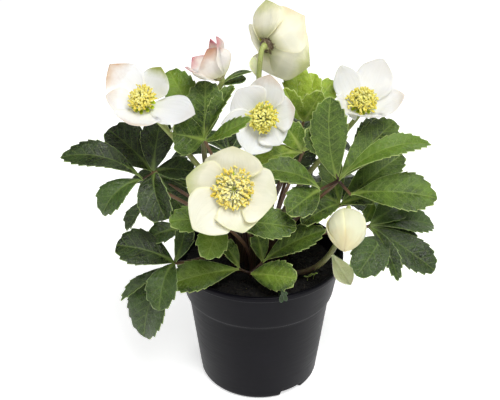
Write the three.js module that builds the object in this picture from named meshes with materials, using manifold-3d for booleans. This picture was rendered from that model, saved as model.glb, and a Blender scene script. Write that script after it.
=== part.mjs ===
// A Christmas rose (Helleborus niger) in flower, in a round nursery pot.
//
// Millimetres, +Z up. The origin is the middle of the flat underside of the pot,
// and -Y is the front of the plant. Each leaf is one node: a stalk and its
// leaflets. Each bloom is a flower stem with its bracts, a cup of five or six
// sepals, a ring of nectaries and a boss of stamens.

import * as THREE from "three";
import { mergeVertices } from "three/addons/utils/BufferGeometryUtils.js";
import Module from "manifold-3d";

const wasm = await Module();
wasm.setup();

// ---------------------------------------------------------------- dimensions

const GAP = 0.3; // left between two pieces that rest on each other

const POT = {
  height: 110,
  rimRadius: 65,
  lipHeight: 4,
  lipWidth: 1.6,
  edge: 0.8, // bevel of the lip
  collarHeight: 78, // where the flared collar starts
  collarStep: 2.4,
  bodyRadius: 56, // just under the collar
  footRadius: 47.2,
  footRound: 5,
  wall: 1.5,
  floor: 1.8,
  sides: 28,
};
const DRAIN = { count: 3, start: -57, width: 20, depth: 11, height: 6 };
const SOIL = { top: 97, bump: 1.2, rings: 2, sides: 18, hole: 11 };

// A stalk or flower stem leaves the soil upright for clear, then bends; its last bit
// is straight. swing is how far the bend starts along it.
const STALK = { clear: 3, straight: 1.5, swing: 0.4 };
// neck and lean shape the top of a leaf stalk; past is how far it runs into the blades.
const LEAF = {
  thickness: 0.7,
  edge: 0.5, // least half width, at the base and at a pointed tip
  blunt: 2.4, // half width at the tip of a blunt leaflet
  stalkFoot: 1.6,
  stalkTop: 1.2,
  branch: 1,
  neck: 0.3,
  lean: 0.7,
  past: 0.8,
  sides: 4,
  steps: 3,
};
const SEPAL = { thickness: 0.7, start: 4.2, cup: 0.012, lap: 0.16 };
const SCAPE = { foot: 2.4, top: 1.8, sides: 4, steps: 7 };
const RECEPTACLE = { radius: 5.8, taper: 0.8, below: 1.5, above: 1.3, sides: 6 };
const CORE = { radius: 3.2, height: 4.3 };
const STAMEN = { count: 7, reach: 11, vary: 0.15, filament: 0.9, neck: 0.7, anther: 2.6, rise: 0.6 };
const PISTIL = { count: 4, reach: 11, tip: 0.7 };
const NECTARY = { count: 5, inner: 4.1, outer: 5.2, rim: 0.9, length: 3.8, mouth: 2, lean: 26 };

const COLOURS = {
  pot: 0x26262b,
  soil: 0x2b231e,
  dark: 0x27452a,
  mid: 0x3f6b2f,
  young: 0x5f8c3a,
  fresh: 0x84a93f,
  scape: 0x7d8a4c,
  white: 0xf3f0e4,
  cream: 0xf0ecc9,
  blush: 0xe9cfcd,
  stamen: 0xe3cf5e,
  nectary: 0x9fb23a,
};

// --------------------------------------------------------------- the leaves
//
// A leaf has the foot of its stalk on the soil [x, y], the hub where the leaflets
// meet, and its leaflets. A leaflet is written [tip, width, shape]. In shape, from
// is a base away from the hub, on a side branch; arch lifts the middle off the
// straight line and bow pushes it sideways; crest is where along the leaflet the
// arch peaks; face is the way the upper side looks; fold closes the two halves;
// point goes from a blunt tip, 0, to a pointed one, 1.

const LEAVES = {
  leaf_front: {
    tint: "mid",
    foot: [3, -13],
    hub: [-7, -33, 110],
    leaflets: [
      [[-67, -50, 111], 25, { from: [-15, -32, 113], arch: 5, face: [-0.1, -0.75, 1], fold: 14 }],
      [[-30, -20, 131], 15, { from: [-15, -32, 113], arch: 3, face: [0.2, -0.5, 1], fold: 25 }],
      [[26, -54, 120], 23, { arch: 3, face: [-0.1, -1.2, 1], fold: 8, point: 0 }],
      [[48, -26, 143], 23, { from: [2, -26, 115], arch: 5, face: [-0.1, -0.5, 1], point: 0.7 }],
      [[-2, -14, 132], 15, { from: [2, -26, 115], arch: 3, face: [0, -0.4, 1], fold: 20 }],
    ],
  },
  leaf_lower_left: {
    tint: "dark",
    foot: [-16, -10],
    hub: [-62, -36, 121],
    leaflets: [
      [[-103, -38, 137], 31, { arch: 6, face: [0.05, -0.5, 1], fold: 12, point: 0 }],
      [[-100, -55, 101], 16, { arch: 1, face: [-0.5, -0.3, 1], fold: 34, point: 1 }],
      [[-84, -62, 74], 38, { arch: 9, crest: 0.45, face: [-0.8, -0.9, 0.7], fold: 12, point: 0 }],
      [[-71, -68, 102], 24, { arch: 9, crest: 0.45, face: [-0.3, -1, 0.6], fold: 12, point: 0 }],
      [[-55, -18, 141], 17, { arch: 5, face: [0.5, -0.6, 1], fold: 30 }],
      [[-80, -28, 138], 18, { from: [-56, -20, 141], arch: 3, face: [0, -0.7, 1], fold: 10 }],
    ],
  },
  leaf_behind_bloom: {
    tint: "young",
    foot: [-6, -15],
    hub: [-27, -38, 157],
    leaflets: [
      [[-63, -48, 163], 20, { face: [0, -0.9, 1], fold: 12 }],
      [[-37, -62, 141], 23, { arch: 5, crest: 0.45, face: [-0.1, -1.3, 0.8], fold: 16 }],
      [[25, -46, 156], 24, { arch: 5, face: [0.1, -0.9, 1], fold: 14 }],
    ],
  },
  leaf_left_long: {
    tint: "dark",
    foot: [-20, -3],
    hub: [-84, -14, 178],
    leaflets: [
      [[-139, -22, 199], 24, { arch: 14, crest: 0.55, face: [0.05, -0.55, 1], point: 0.7 }],
      [[-111, -34, 160], 24, { arch: 10, crest: 0.55, face: [-0.3, -0.75, 1], point: 0.5 }],
      [
        [-98, -20, 139],
        19,
        { from: [-80, -17, 165], arch: 0, face: [-0.8, -0.5, 0.8], fold: 28, point: 0.8 },
      ],
      [[-65, -42, 161], 30, { from: [-74, -14, 184], arch: 9, face: [-0.4, -0.9, 0.6], fold: 34, point: 0 }],
    ],
  },
  leaf_left_upper: {
    tint: "dark",
    foot: [-19, 5],
    hub: [-80, 10, 172],
    leaflets: [
      [[-112, 18, 203], 34, { arch: 5, face: [0.1, -0.75, 1], fold: 14 }],
      [[-74, 26, 206], 26, { arch: 6, face: [0.1, -0.75, 1], fold: 14, point: 0 }],
      [[-48, 4, 175], 22, { face: [0.1, -0.6, 1], fold: 14 }],
      [[-56, 12, 133], 26, { arch: 5, face: [0.1, -0.9, 0.9], fold: 12 }],
    ],
  },
  leaf_centre_left: {
    tint: "mid",
    foot: [-10, -5],
    hub: [-39, -12, 208],
    leaflets: [
      [[-60, -24, 218], 28, { arch: 3, face: [0, -1.4, 0.8], fold: 8, point: 0 }],
      [[-65, 22, 247], 25, { arch: 5, face: [0, -1, 0.9], fold: 12, point: 0 }],
      [[-38, -2, 248], 26, { face: [0.1, -1.2, 0.7], fold: 14, point: 0 }],
      [[-18, -4, 245], 15, { arch: 5, face: [-0.5, -0.9, 0.7], fold: 34 }],
      [[-6, -50, 240], 15, { arch: 3, bow: 7, face: [0, -0.7, 1], fold: 20 }],
    ],
  },
  leaf_young: {
    tint: "fresh",
    foot: [5, 9],
    hub: [32, 16, 210],
    leaflets: [
      [[24, 26, 251], 22, { face: [0, -1.2, 0.7], fold: 14, point: 0 }],
      [[17, 6, 240], 16, { arch: 3, face: [-0.3, -1.2, 0.5], fold: 20 }],
      [[40, 24, 244], 20, { face: [-0.3, -1, 0.6], fold: 26 }],
      [[54, 32, 236], 19, { face: [0.1, -1, 0.8], fold: 14 }],
      [[43, 4, 238], 20, { arch: 3, face: [0, -1.3, 0.6], fold: 20 }],
    ],
  },
  leaf_young_low: {
    tint: "fresh",
    foot: [8, 0],
    hub: [31, 0, 193],
    leaflets: [
      [[17, 2, 215], 20, { arch: 3, face: [-0.1, -1, 0.8], fold: 20 }],
      [[-4, -14, 190], 20, { arch: 5, face: [0, -0.8, 1] }],
      [[49, 10, 207], 20, { face: [0, -0.9, 1] }],
    ],
  },
  leaf_centre: {
    tint: "dark",
    foot: [1, 12],
    hub: [20, 24, 163],
    leaflets: [
      [[-8, 26, 190], 24, { face: [0, -0.8, 1], fold: 14 }],
      [[-14, 21, 158], 24, { arch: 5, face: [0, -0.8, 1], fold: 14 }],
      [[40, 36, 146], 26, { arch: 6, face: [0, -0.9, 1], fold: 14 }],
      [[41, 37, 178], 22, { arch: 6, face: [0, -0.9, 1], fold: 14 }],
    ],
  },
  leaf_right: {
    tint: "mid",
    foot: [14, -5],
    hub: [56, -16, 178],
    leaflets: [
      [[47, -20, 243], 27, { arch: 3, bow: -4, face: [-0.05, -1.2, 0.6], fold: 14, point: 0 }],
      [[31, -22, 221], 17, { from: [50, -18, 195], arch: 1, face: [-0.05, -1.2, 0.6], fold: 8, point: 1 }],
      [[98, 12, 212], 26, { arch: 5, face: [0, -0.8, 1], point: 0 }],
      [[119, -18, 207], 18, { arch: 20, crest: 0.6, face: [0, -0.7, 1], fold: 18, point: 1 }],
      [[18, -52, 171], 24, { from: [42, -28, 177], face: [-0.2, -1.1, 0.8], point: 0.5 }],
      [[-2, -34, 195], 22, { from: [42, -28, 177], arch: 9, face: [0, -0.6, 1], fold: 20, point: 0.7 }],
      [[124, -32, 172], 32, { from: [65, -18, 168], arch: 7, face: [0, -0.7, 1], fold: 14, point: 0.5 }],
      [[87, 22, 210], 18, { from: [65, -4, 184], arch: 3, face: [0, -0.8, 1], point: 0 }],
    ],
  },
  leaf_lower_right: {
    tint: "dark",
    foot: [20, -2],
    hub: [79, -24, 145],
    leaflets: [
      [[130, -10, 137], 22, { arch: 8, face: [0.2, -0.6, 1], point: 0.6 }],
      [[116, -28, 131], 20, { arch: 3, face: [0.2, -0.7, 1], fold: 14, point: 0.6 }],
      [[125, -46, 121], 26, { arch: 3, face: [0.2, -0.8, 1], fold: 14, point: 0 }],
      [[96, -62, 123], 14, { arch: 8, face: [0.2, -0.9, 1], fold: 24 }],
      [
        [66, -66, 130],
        27,
        { from: [87, -32, 139], arch: 9, crest: 0.45, face: [-0.1, -1, 0.7], fold: 12, point: 0 },
      ],
      [[106, -6, 154], 22, { arch: 4, face: [0, -0.8, 1], fold: 12 }],
    ],
  },
  leaf_curled: {
    tint: "mid",
    foot: [15, 3],
    hub: [60, -2, 150],
    leaflets: [
      [[30, -30, 150], 20, { arch: 6, face: [0, -0.6, 1], fold: 28, point: 0 }],
      [[109, 26, 179], 27, { arch: 5, face: [0.1, -0.6, 1], point: 0 }],
      [[50, 22, 178], 20, { face: [0, -0.8, 1] }],
      [[36, -2, 163], 20, { face: [0, -0.8, 1], fold: 12 }],
      [[88, -6, 158], 15, { arch: 5, face: [0, -0.6, 1], fold: 20 }],
      [[77, -18, 145], 12, { from: [84, -6, 157], arch: 2, face: [0.2, -0.9, 0.5], fold: 20 }],
    ],
  },
};

// The leaves behind the blooms fan out to the back by one rule: each takes the
// direction of its stalk in degrees, how far out and how high its hub is, and
// how many leaflets it has.
const BACK_LEAVES = {
  leaf_back_right: { azimuth: 34, reach: 60, height: 142, count: 4 },
  leaf_back_right_high: { azimuth: 56, reach: 54, height: 180, count: 4 },
  leaf_back: { azimuth: 88, reach: 50, height: 138, count: 4 },
  leaf_back_left_high: { azimuth: 118, reach: 50, height: 170, count: 4 },
  leaf_back_left: { azimuth: 148, reach: 62, height: 148, count: 4 },
};
const FAN = {
  foot: 19,
  length: 52,
  width: 28,
  vary: 0.1,
  spread: 40, // degrees from one leaflet to the next
  turn: 5, // degrees that a leaflet may turn off its place
  outer: 0.09, // share that each leaflet is shorter than the one inside it
  droop: 8,
  outerDroop: 5,
  arch: 7,
  fold: 16,
  tilt: 0.25,
  seed: 7,
};

// --------------------------------------------------------------- the blooms
//
// A bloom has its centre, the way it faces, the foot of its stem on the soil, how
// far the stem runs straight behind it, and how wide its boss has opened, 1 being
// half open. A bract is [joint of the stem, reach, width, arch]. A sepal is [turn from the top in
// degrees, clockwise from the front, length, width, rise at the base, rise at
// the tip], the rises in degrees above the plane of the bloom.

const BLOOMS = {
  front: {
    centre: [-18, -62, 195],
    faces: [0.02, -0.88, 0.47],
    foot: [-5, -8.5],
    neck: 22,
    boss: 1.2,
    tint: "cream",
    sepals: [
      [0, 25, 38, 8, 32],
      [104, 26, 37, 8, 30],
      [168, 26, 30, 8, 28],
      [226, 34, 35, 8, 28],
      [284, 29, 30, 8, 32],
    ],
    bracts: [[5, [12, 3, 18], 9, -2]],
  },
  centre: {
    centre: [2, -14, 226],
    faces: [-0.1, -1, 0.32],
    foot: [1, -3],
    neck: 12,
    boss: 0.85,
    tint: "white",
    sepals: [
      [8, 27, 25, 10, 30],
      [72, 20, 26, 10, 30],
      [146, 19, 22, 10, 30],
      [199, 24, 27, 10, 30],
      [260, 26, 17, 10, 30],
      [316, 23, 29, 10, 30],
    ],
    bracts: [[6, [-9, -1, 18], 9, -2]],
  },
  left: {
    centre: [-80, -8, 233],
    faces: [-0.12, -0.66, 0.75],
    foot: [-14, 1],
    neck: 20,
    boss: 0.8,
    tint: "white",
    sepals: [
      [-49, 33, 28, 10, 34],
      [25, 25, 26, 12, 50],
      [104, 38, 26, 8, 24],
      [180, 28, 33, 25, 60],
      [262, 25, 19, 20, 60],
    ],
    bracts: [[6, [11, -4, 16], 11, -2], [6, [-8, 6, 15], 8, -2]],
  },
  right: {
    centre: [73, 12, 223],
    faces: [0, -0.52, 0.85],
    foot: [10, 10],
    neck: 20,
    boss: 0.9,
    tint: "white",
    sepals: [
      [-33, 31, 21, 12, 62],
      [28, 35, 30, 12, 60],
      [94, 29, 27, 12, 50],
      [172, 26, 27, 30, 62],
      [244, 24, 23, 30, 60],
    ],
    bracts: [[6, [4, 9, 18], 9, -2]],
  },
  back: {
    centre: [4, 8, 270],
    faces: [0.62, 0.77, 0.1],
    foot: [-1, 5],
    neck: 9,
    boss: 1,
    tint: "cream",
    sepals: [
      [20, 28, 36, 16, 46],
      [102, 20, 28, 16, 46],
      [182, 30, 38, 14, 44],
      [240, 30, 40, 14, 44],
      [-48, 30, 36, 16, 46],
    ],
    bracts: [[5, [9, 9, 17], 9, -2], [6, [-4, 13, 12], 9, -2]],
  },
  pink: {
    centre: [-28, -2, 251],
    faces: [-0.5, -0.1, 0.86],
    foot: [-7, 3],
    neck: 5,
    launch: [-65, 22, 90],
    boss: 0.6,
    tint: "blush",
    sepals: [
      [324, 25, 19, 60, 92],
      [16, 28, 21, 60, 80],
      [68, 25, 25, 62, 94],
      [158, 25, 26, 48, 70],
      [232, 21, 19, 52, 68],
    ],
    bracts: [[7, [22, 4, 9], 5, 4], [7, [18, 8, 3], 10, 1]],
  },
};

// The closed bud hangs from its own arched stem.
const BUD = {
  centre: [61, -41, 166],
  faces: [-0.15, -0.9, -0.42],
  foot: [11, -12],
  launch: [48, -34, 0],
  neck: 13,
  length: 33,
  radius: 13,
  seat: 1, // how far it reaches back over the end of its stem
  sepals: 5,
  twist: 0.35, // share of a sepal's width that each edge turns from base to tip
  lap: 0.08,
  columns: 20,
  rows: 8,
  bracts: [[4, [13, -21, -14], 15, -2]],
};

// ------------------------------------------------------------ small helpers

const UP = new THREE.Vector3(0, 0, 1);
const vec = ([x, y, z]) => new THREE.Vector3(x, y, z);
const unit = (list) => vec(list).normalize();
const radians = (degrees) => THREE.MathUtils.degToRad(degrees);

/** Adds up vectors times numbers: sum([a, 2], [b, -1]) is 2a - b. */
function sum(...terms) {
  const total = new THREE.Vector3();
  for (const [vector, factor] of terms) total.addScaledVector(vector, factor);
  return total;
}

/** The part of a vector at right angles to an axis, at length 1. */
function squareTo(axis, vector) {
  return sum([vector, 1], [axis, -vector.dot(axis)]).normalize();
}

/** Even random numbers from 0 to 1 that are the same on every run. */
function seeded(seed) {
  let state = seed;
  return () => {
    state = (state * 1664525 + 1013904223) % 4294967296;
    return state / 4294967296;
  };
}

/** A random factor round 1, by up to the given share more or less. */
const varied = (share, random) => 1 - share + 2 * share * random();

/** A closed geometry from a list of points and a list of triangles. */
function geometryOf(points, triangles) {
  const geometry = new THREE.BufferGeometry();
  geometry.setFromPoints(points);
  geometry.setIndex(triangles.flat());
  return geometry;
}

/** Turns a closed geometry into a solid that can be joined and cut. */
function solidOf(geometry) {
  const bare = geometry.clone();
  bare.deleteAttribute("normal");
  bare.deleteAttribute("uv");
  const merged = mergeVertices(bare, 1e-4);
  return new wasm.Manifold(
    new wasm.Mesh({
      numProp: 3,
      vertProperties: new Float32Array(merged.attributes.position.array),
      triVerts: new Uint32Array(merged.index.array),
    }),
  );
}

/** The largest closed skin of a solid, without sealed pockets and loose scraps. */
function geometryOfSolid(solid) {
  const { vertProperties, triVerts } = solid.getMesh();
  const points = [];
  for (let i = 0; i < vertProperties.length; i += 3) {
    points.push(new THREE.Vector3().fromArray(vertProperties, i));
  }
  const owner = points.map((_, i) => i);
  const rootOf = (i) => {
    while (owner[i] !== i) i = owner[i] = owner[owner[i]];
    return i;
  };
  for (let i = 0; i < triVerts.length; i += 3) {
    owner[rootOf(triVerts[i + 1])] = rootOf(triVerts[i]);
    owner[rootOf(triVerts[i + 2])] = rootOf(triVerts[i]);
  }
  const skins = new Map();
  for (let i = 0; i < triVerts.length; i += 3) {
    const triangle = [triVerts[i], triVerts[i + 1], triVerts[i + 2]];
    const [a, b, c] = triangle.map((corner) => points[corner]);
    const skin = skins.get(rootOf(triangle[0])) ?? { volume: 0, triangles: [] };
    skin.volume += new THREE.Vector3().crossVectors(b, c).dot(a) / 6;
    skin.triangles.push(triangle);
    skins.set(rootOf(triangle[0]), skin);
  }
  const largest = [...skins.values()].reduce((best, skin) => (skin.volume > best.volume ? skin : best));
  return mergeVertices(geometryOf(points, largest.triangles), 0);
}

/** Joins closed geometries into one. */
function fuse(geometries) {
  return geometryOfSolid(geometries.map(solidOf).reduce((whole, piece) => whole.add(piece)));
}

// ------------------------------------------------------------ basic shapes

/**
 * A closed sheet: a grid of points with thickness along its own normals. Both
 * faces are split into triangles alike.
 */
function sheet(grid, thickness) {
  const rows = grid.length;
  const columns = grid[0].length;
  const at = (r, c) =>
    grid[THREE.MathUtils.clamp(r, 0, rows - 1)][THREE.MathUtils.clamp(c, 0, columns - 1)];
  const points = [];
  for (const side of [0.5, -0.5]) {
    for (let r = 0; r < rows; r += 1) {
      for (let c = 0; c < columns; c += 1) {
        const along = sum([at(r + 1, c), 1], [at(r - 1, c), -1]);
        const across = sum([at(r, c + 1), 1], [at(r, c - 1), -1]);
        const normal = across.cross(along).normalize();
        points.push(sum([at(r, c), 1], [normal, side * thickness]));
      }
    }
  }
  const upper = (r, c) => r * columns + c;
  const lower = (r, c) => upper(r, c) + rows * columns;
  const triangles = [];
  for (let r = 0; r < rows - 1; r += 1) {
    for (let c = 0; c < columns - 1; c += 1) {
      const [a, b, d, e] = [[r, c], [r, c + 1], [r + 1, c + 1], [r + 1, c]];
      triangles.push([upper(...a), upper(...b), upper(...d)]);
      triangles.push([upper(...a), upper(...d), upper(...e)]);
      triangles.push([lower(...a), lower(...d), lower(...b)]);
      triangles.push([lower(...a), lower(...e), lower(...d)]);
    }
  }
  const rim = [];
  for (let c = 0; c < columns - 1; c += 1) rim.push([0, c]);
  for (let r = 0; r < rows - 1; r += 1) rim.push([r, columns - 1]);
  for (let c = columns - 1; c > 0; c -= 1) rim.push([rows - 1, c]);
  for (let r = rows - 1; r > 0; r -= 1) rim.push([r, 0]);
  rim.forEach((spot, i) => {
    const next = rim[(i + 1) % rim.length];
    triangles.push([upper(...spot), lower(...spot), lower(...next)]);
    triangles.push([upper(...spot), lower(...next), upper(...next)]);
  });
  return geometryOf(points, triangles);
}

/** A closed rod through the given points, with a radius at each of them. */
function rod(path, radii, sides) {
  const points = [];
  const triangles = [];
  const steady = Math.abs(sum([path.at(-1), 1], [path[0], -1]).normalize().x) < 0.9
    ? new THREE.Vector3(1, 0, 0)
    : new THREE.Vector3(0, 1, 0);
  path.forEach((point, i) => {
    const before = path[Math.max(i - 1, 0)];
    const after = path[Math.min(i + 1, path.length - 1)];
    const along = sum([after, 1], [before, -1]).normalize();
    const across = squareTo(along, steady);
    const third = new THREE.Vector3().crossVectors(along, across);
    for (let k = 0; k < sides; k += 1) {
      const turn = (k / sides) * 2 * Math.PI;
      const reach = [[across, radii[i] * Math.cos(turn)], [third, radii[i] * Math.sin(turn)]];
      points.push(sum([point, 1], ...reach));
    }
  });
  for (let i = 0; i < path.length - 1; i += 1) {
    for (let k = 0; k < sides; k += 1) {
      const [a, b] = [i * sides + k, i * sides + ((k + 1) % sides)];
      triangles.push([a, b, b + sides]);
      triangles.push([a, b + sides, a + sides]);
    }
  }
  const last = (path.length - 1) * sides;
  for (let k = 1; k < sides - 1; k += 1) {
    triangles.push([0, k + 1, k]);
    triangles.push([last, last + k, last + k + 1]);
  }
  return geometryOf(points, triangles);
}

/**
 * The path of a stalk: straight up out of its hole in the soil, one smooth curve
 * that sets off upwards or by the launch vector, and a last straight bit.
 */
function stalkPath(foot, end, arrival, neck, steps, launch) {
  const soil = new THREE.Vector3(foot[0], foot[1], SOIL.top);
  const start = sum([soil, 1], [UP, STALK.clear]);
  const last = sum([end, 1], [arrival, -STALK.straight]);
  const curve = new THREE.CubicBezierCurve3(
    start,
    sum([start, 1], launch ? [launch, 1] : [UP, STALK.swing * start.distanceTo(end)]),
    sum([last, 1], [arrival, -neck]),
    last,
  );
  return [sum([soil, 1], [UP, GAP - SOIL.hole]), ...curve.getPoints(steps), end];
}

/** A radius that shrinks evenly along a path. */
function taper(path, first, last) {
  return path.map((_, i) => THREE.MathUtils.lerp(first, last, i / (path.length - 1)));
}

// ------------------------------------------------------------------ leaves

/** Half the width of a leaflet, 0 to 1, at a place along it: broadest past the middle. */
const leafletOutline = (s, point) => Math.sin(Math.PI * s ** (1.65 - 0.2 * point)) ** (0.6 + 0.35 * point);

/** Rows along a leaflet, [place, share of the outline]: one tooth on each side ends in a notch. */
const LEAFLET_ROWS = [[0, 1], [0.3, 1], [0.66, 1.04], [0.7, 0.92], [1, 1]];

/** The closed blade of one leaflet from its base to its tip. */
function leaflet(base, tip, width, shape) {
  const { arch = 4, bow = 0, crest = 0.5, fold = 16, point = 0.3 } = shape;
  const face = unit(shape.face);
  const chord = sum([tip, 1], [base, -1]);
  const lift = squareTo(chord.clone().normalize(), face);
  const aside = new THREE.Vector3().crossVectors(chord, lift).normalize();
  const control = sum([base, 1], [chord, crest], [lift, 2 * arch], [aside, 2 * bow]);
  const midrib = new THREE.QuadraticBezierCurve3(base, control, tip);
  const grid = LEAFLET_ROWS.map(([s, share]) => {
    const middle = midrib.getPoint(s);
    const along = midrib.getTangent(s);
    const side = new THREE.Vector3().crossVectors(along, face).normalize();
    const up = new THREE.Vector3().crossVectors(side, along);
    const least = s < 1 ? LEAF.edge : THREE.MathUtils.lerp(LEAF.blunt, LEAF.edge, point);
    const half = Math.max((width / 2) * leafletOutline(s, point) * share, least);
    return [-1, 0, 1].map((t) =>
      sum(
        [middle, 1],
        [side, half * t * Math.cos(radians(fold))],
        [up, half * Math.abs(t) * Math.sin(radians(fold))],
      ),
    );
  });
  return sheet(grid, LEAF.thickness);
}

/** One leaf: the stalk, its side branches and the leaflets, in one piece. */
function leafGeometry({ foot, hub, leaflets }) {
  const end = vec(hub);
  const outward = unit([hub[0] - foot[0], hub[1] - foot[1], LEAF.lean * (hub[2] - SOIL.top)]);
  const neck = LEAF.neck * end.distanceTo(vec([...foot, SOIL.top]));
  const path = stalkPath(foot, end, outward, neck, LEAF.steps);
  path.push(sum([end, 1], [outward, LEAF.past]));
  const pieces = [rod(path, taper(path, LEAF.stalkFoot, LEAF.stalkTop), LEAF.sides)];
  const branches = new Set();
  for (const [tip, width, shape] of leaflets) {
    const base = shape.from ? vec(shape.from) : end;
    if (shape.from && !branches.has(`${shape.from}`)) {
      const past = sum([base, 1], [sum([base, 1], [end, -1]).normalize(), LEAF.past]);
      pieces.push(rod([end, past], [LEAF.stalkTop, LEAF.branch], LEAF.sides));
      branches.add(`${shape.from}`);
    }
    pieces.push(leaflet(base, vec(tip), width, shape));
  }
  return fuse(pieces);
}

/** The same description as in LEAVES, for a leaf that fans out to the back. */
function fanLeaf({ azimuth, reach, height, count }, random) {
  const towards = (degrees) => new THREE.Vector3(Math.cos(radians(degrees)), Math.sin(radians(degrees)), 0);
  const hub = sum([towards(azimuth), reach], [UP, height]);
  const leaflets = [];
  for (let i = 0; i < count; i += 1) {
    const off = i - (count - 1) / 2;
    const heading = towards(azimuth + off * FAN.spread + FAN.turn * (2 * random() - 1));
    const length = FAN.length * (1 - FAN.outer * Math.abs(off)) * varied(FAN.vary, random);
    const drop = FAN.droop * (random() - 0.2) + FAN.outerDroop * Math.abs(off);
    const tip = sum([hub, 1], [heading, length], [UP, -drop]);
    const face = sum([UP, 1], [heading, FAN.tilt]).toArray();
    const width = FAN.width * varied(FAN.vary, random);
    leaflets.push([tip.toArray(), width, { arch: FAN.arch, face, fold: FAN.fold }]);
  }
  const foot = sum([towards(azimuth), FAN.foot]).toArray().slice(0, 2);
  return { foot, hub: hub.toArray(), leaflets };
}

// ------------------------------------------------------------------ blooms

/** The axes of a bloom: out of its face, up its face, and to the viewer's right. */
function bloomAxes({ faces }) {
  const out = unit(faces);
  const up = squareTo(out, UP);
  return { out, up, right: new THREE.Vector3().crossVectors(up, out) };
}

/** A direction in the plane of a bloom, turned clockwise from its top. */
function spoke({ up, right }, degrees) {
  return sum([up, Math.cos(radians(degrees))], [right, Math.sin(radians(degrees))]);
}

/** Half the width of a sepal, 0 to 1, at a place along it. */
const sepalOutline = (s) => Math.sin(Math.PI * (0.015 + 0.965 * s ** 1.05)) ** 0.72;

/** One sepal: its rise turns evenly from base to tip, and its edges curl up. */
function sepal(centre, axes, [turn, length, width, riseBase, riseTip]) {
  const outward = spoke(axes, turn);
  const side = new THREE.Vector3().crossVectors(outward, axes.out);
  const [first, last] = [radians(riseBase), radians(riseTip)];
  const grid = [0, 0.24, 0.56, 0.85, 1].map((s) => {
    const rise = THREE.MathUtils.lerp(first, last, s);
    const run = SEPAL.start + (length * (Math.sin(rise) - Math.sin(first))) / (last - first);
    const height = (length * (Math.cos(first) - Math.cos(rise))) / (last - first);
    const normal = sum([outward, -Math.sin(rise)], [axes.out, Math.cos(rise)]);
    const half = (width / 2) * sepalOutline(s);
    return [-1, -0.36, 0.36, 1].map((t) => {
      const across = half * t;
      const curl = SEPAL.cup * across ** 2 + SEPAL.lap * across;
      return sum([centre, 1], [outward, run], [axes.out, height], [side, across], [normal, curl]);
    });
  });
  return sheet(grid, SEPAL.thickness);
}

/** A closed disc between two heights along an axis, with a radius at each. */
function disc(centre, axis, low, high, radii, sides) {
  return rod([sum([centre, 1], [axis, low]), sum([centre, 1], [axis, high])], radii, sides);
}

/** The sepals on their receptacle. */
function sepalsGeometry(bloom, axes, centre) {
  const { radius, taper, below, above, sides } = RECEPTACLE;
  const seat = disc(centre, axes.out, -below, above, [taper * radius, radius], sides);
  return fuse([seat, ...bloom.sepals.map((shape) => sepal(centre, axes, shape))]);
}

/** A closed mesh whose chosen faces are drawn out through rings of points. */
function drawnOut(points, faces, ringsOf) {
  const all = [...points];
  const triangles = [];
  const fill = (ring) => {
    for (let k = 1; k < ring.length - 1; k += 1) triangles.push([ring[0], ring[k], ring[k + 1]]);
  };
  faces.forEach((face, index) => {
    let ring = face;
    for (const next of ringsOf(face.map((corner) => points[corner]), index)) {
      const start = all.length;
      all.push(...next);
      ring.forEach((corner, k) => {
        const beside = (k + 1) % ring.length;
        triangles.push([corner, ring[beside], start + beside]);
        triangles.push([corner, start + beside, start + k]);
      });
      ring = next.map((_, k) => start + k);
    }
    fill(ring);
  });
  return geometryOf(all, triangles);
}

/** Moves a geometry made round Z onto a bloom's axis. */
function ontoBloom(geometry, axes, centre) {
  const { right, up, out } = axes;
  return geometry.applyMatrix4(new THREE.Matrix4().makeBasis(right, up, out).setPosition(centre));
}

/** The boss: a low core whose faces are drawn out into pistils and stamens. */
function stamensGeometry(axes, centre, spread, random) {
  const ball = new THREE.IcosahedronGeometry(1, 1);
  ball.deleteAttribute("normal");
  ball.deleteAttribute("uv");
  const merged = mergeVertices(ball);
  const points = [];
  for (let i = 0; i < merged.attributes.position.count; i += 1) {
    points.push(new THREE.Vector3().fromBufferAttribute(merged.attributes.position, i));
  }
  const faces = [];
  for (let i = 0; i < merged.index.count; i += 3) {
    faces.push([0, 1, 2].map((k) => merged.index.getX(i + k)));
  }
  const middleOf = (corners) => sum(...corners.map((corner) => [corner, 1 / 3])).normalize();
  const heights = faces.map((face) => middleOf(face.map((corner) => points[corner])).z);
  const order = heights.map((_, i) => i).sort((a, b) => heights[b] - heights[a]);
  const rank = new Map(order.map((face, place) => [face, place]));
  for (const point of points) {
    point.multiplyScalar(CORE.radius);
    point.setZ((Math.max(point.z, 0) * CORE.height) / CORE.radius);
  }
  const boss = drawnOut(points, faces, (corners, index) => {
    const place = rank.get(index);
    const isPistil = place < PISTIL.count;
    if (place >= PISTIL.count + STAMEN.count) return [];
    const middle = sum(...corners.map((corner) => [corner, 1 / 3]));
    const along = sum([middle, 1 / middle.length()], [UP, STAMEN.rise]).normalize();
    const shrink = (reach, size) => {
      const spot = sum([middle, 1], [along, reach]);
      const scale = size / corners[0].distanceTo(corners[1]);
      return corners.map((corner) => sum([spot, 1], [corner, scale], [middle, -scale]));
    };
    if (isPistil) return [shrink(PISTIL.reach, PISTIL.tip)];
    const reach = STAMEN.reach * varied(STAMEN.vary, random);
    return [shrink(STAMEN.neck * reach, STAMEN.filament), shrink(reach, STAMEN.anther)];
  });
  boss.scale(spread, spread, 1).translate(0, 0, RECEPTACLE.above + GAP);
  return ontoBloom(boss, axes, centre);
}

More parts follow.
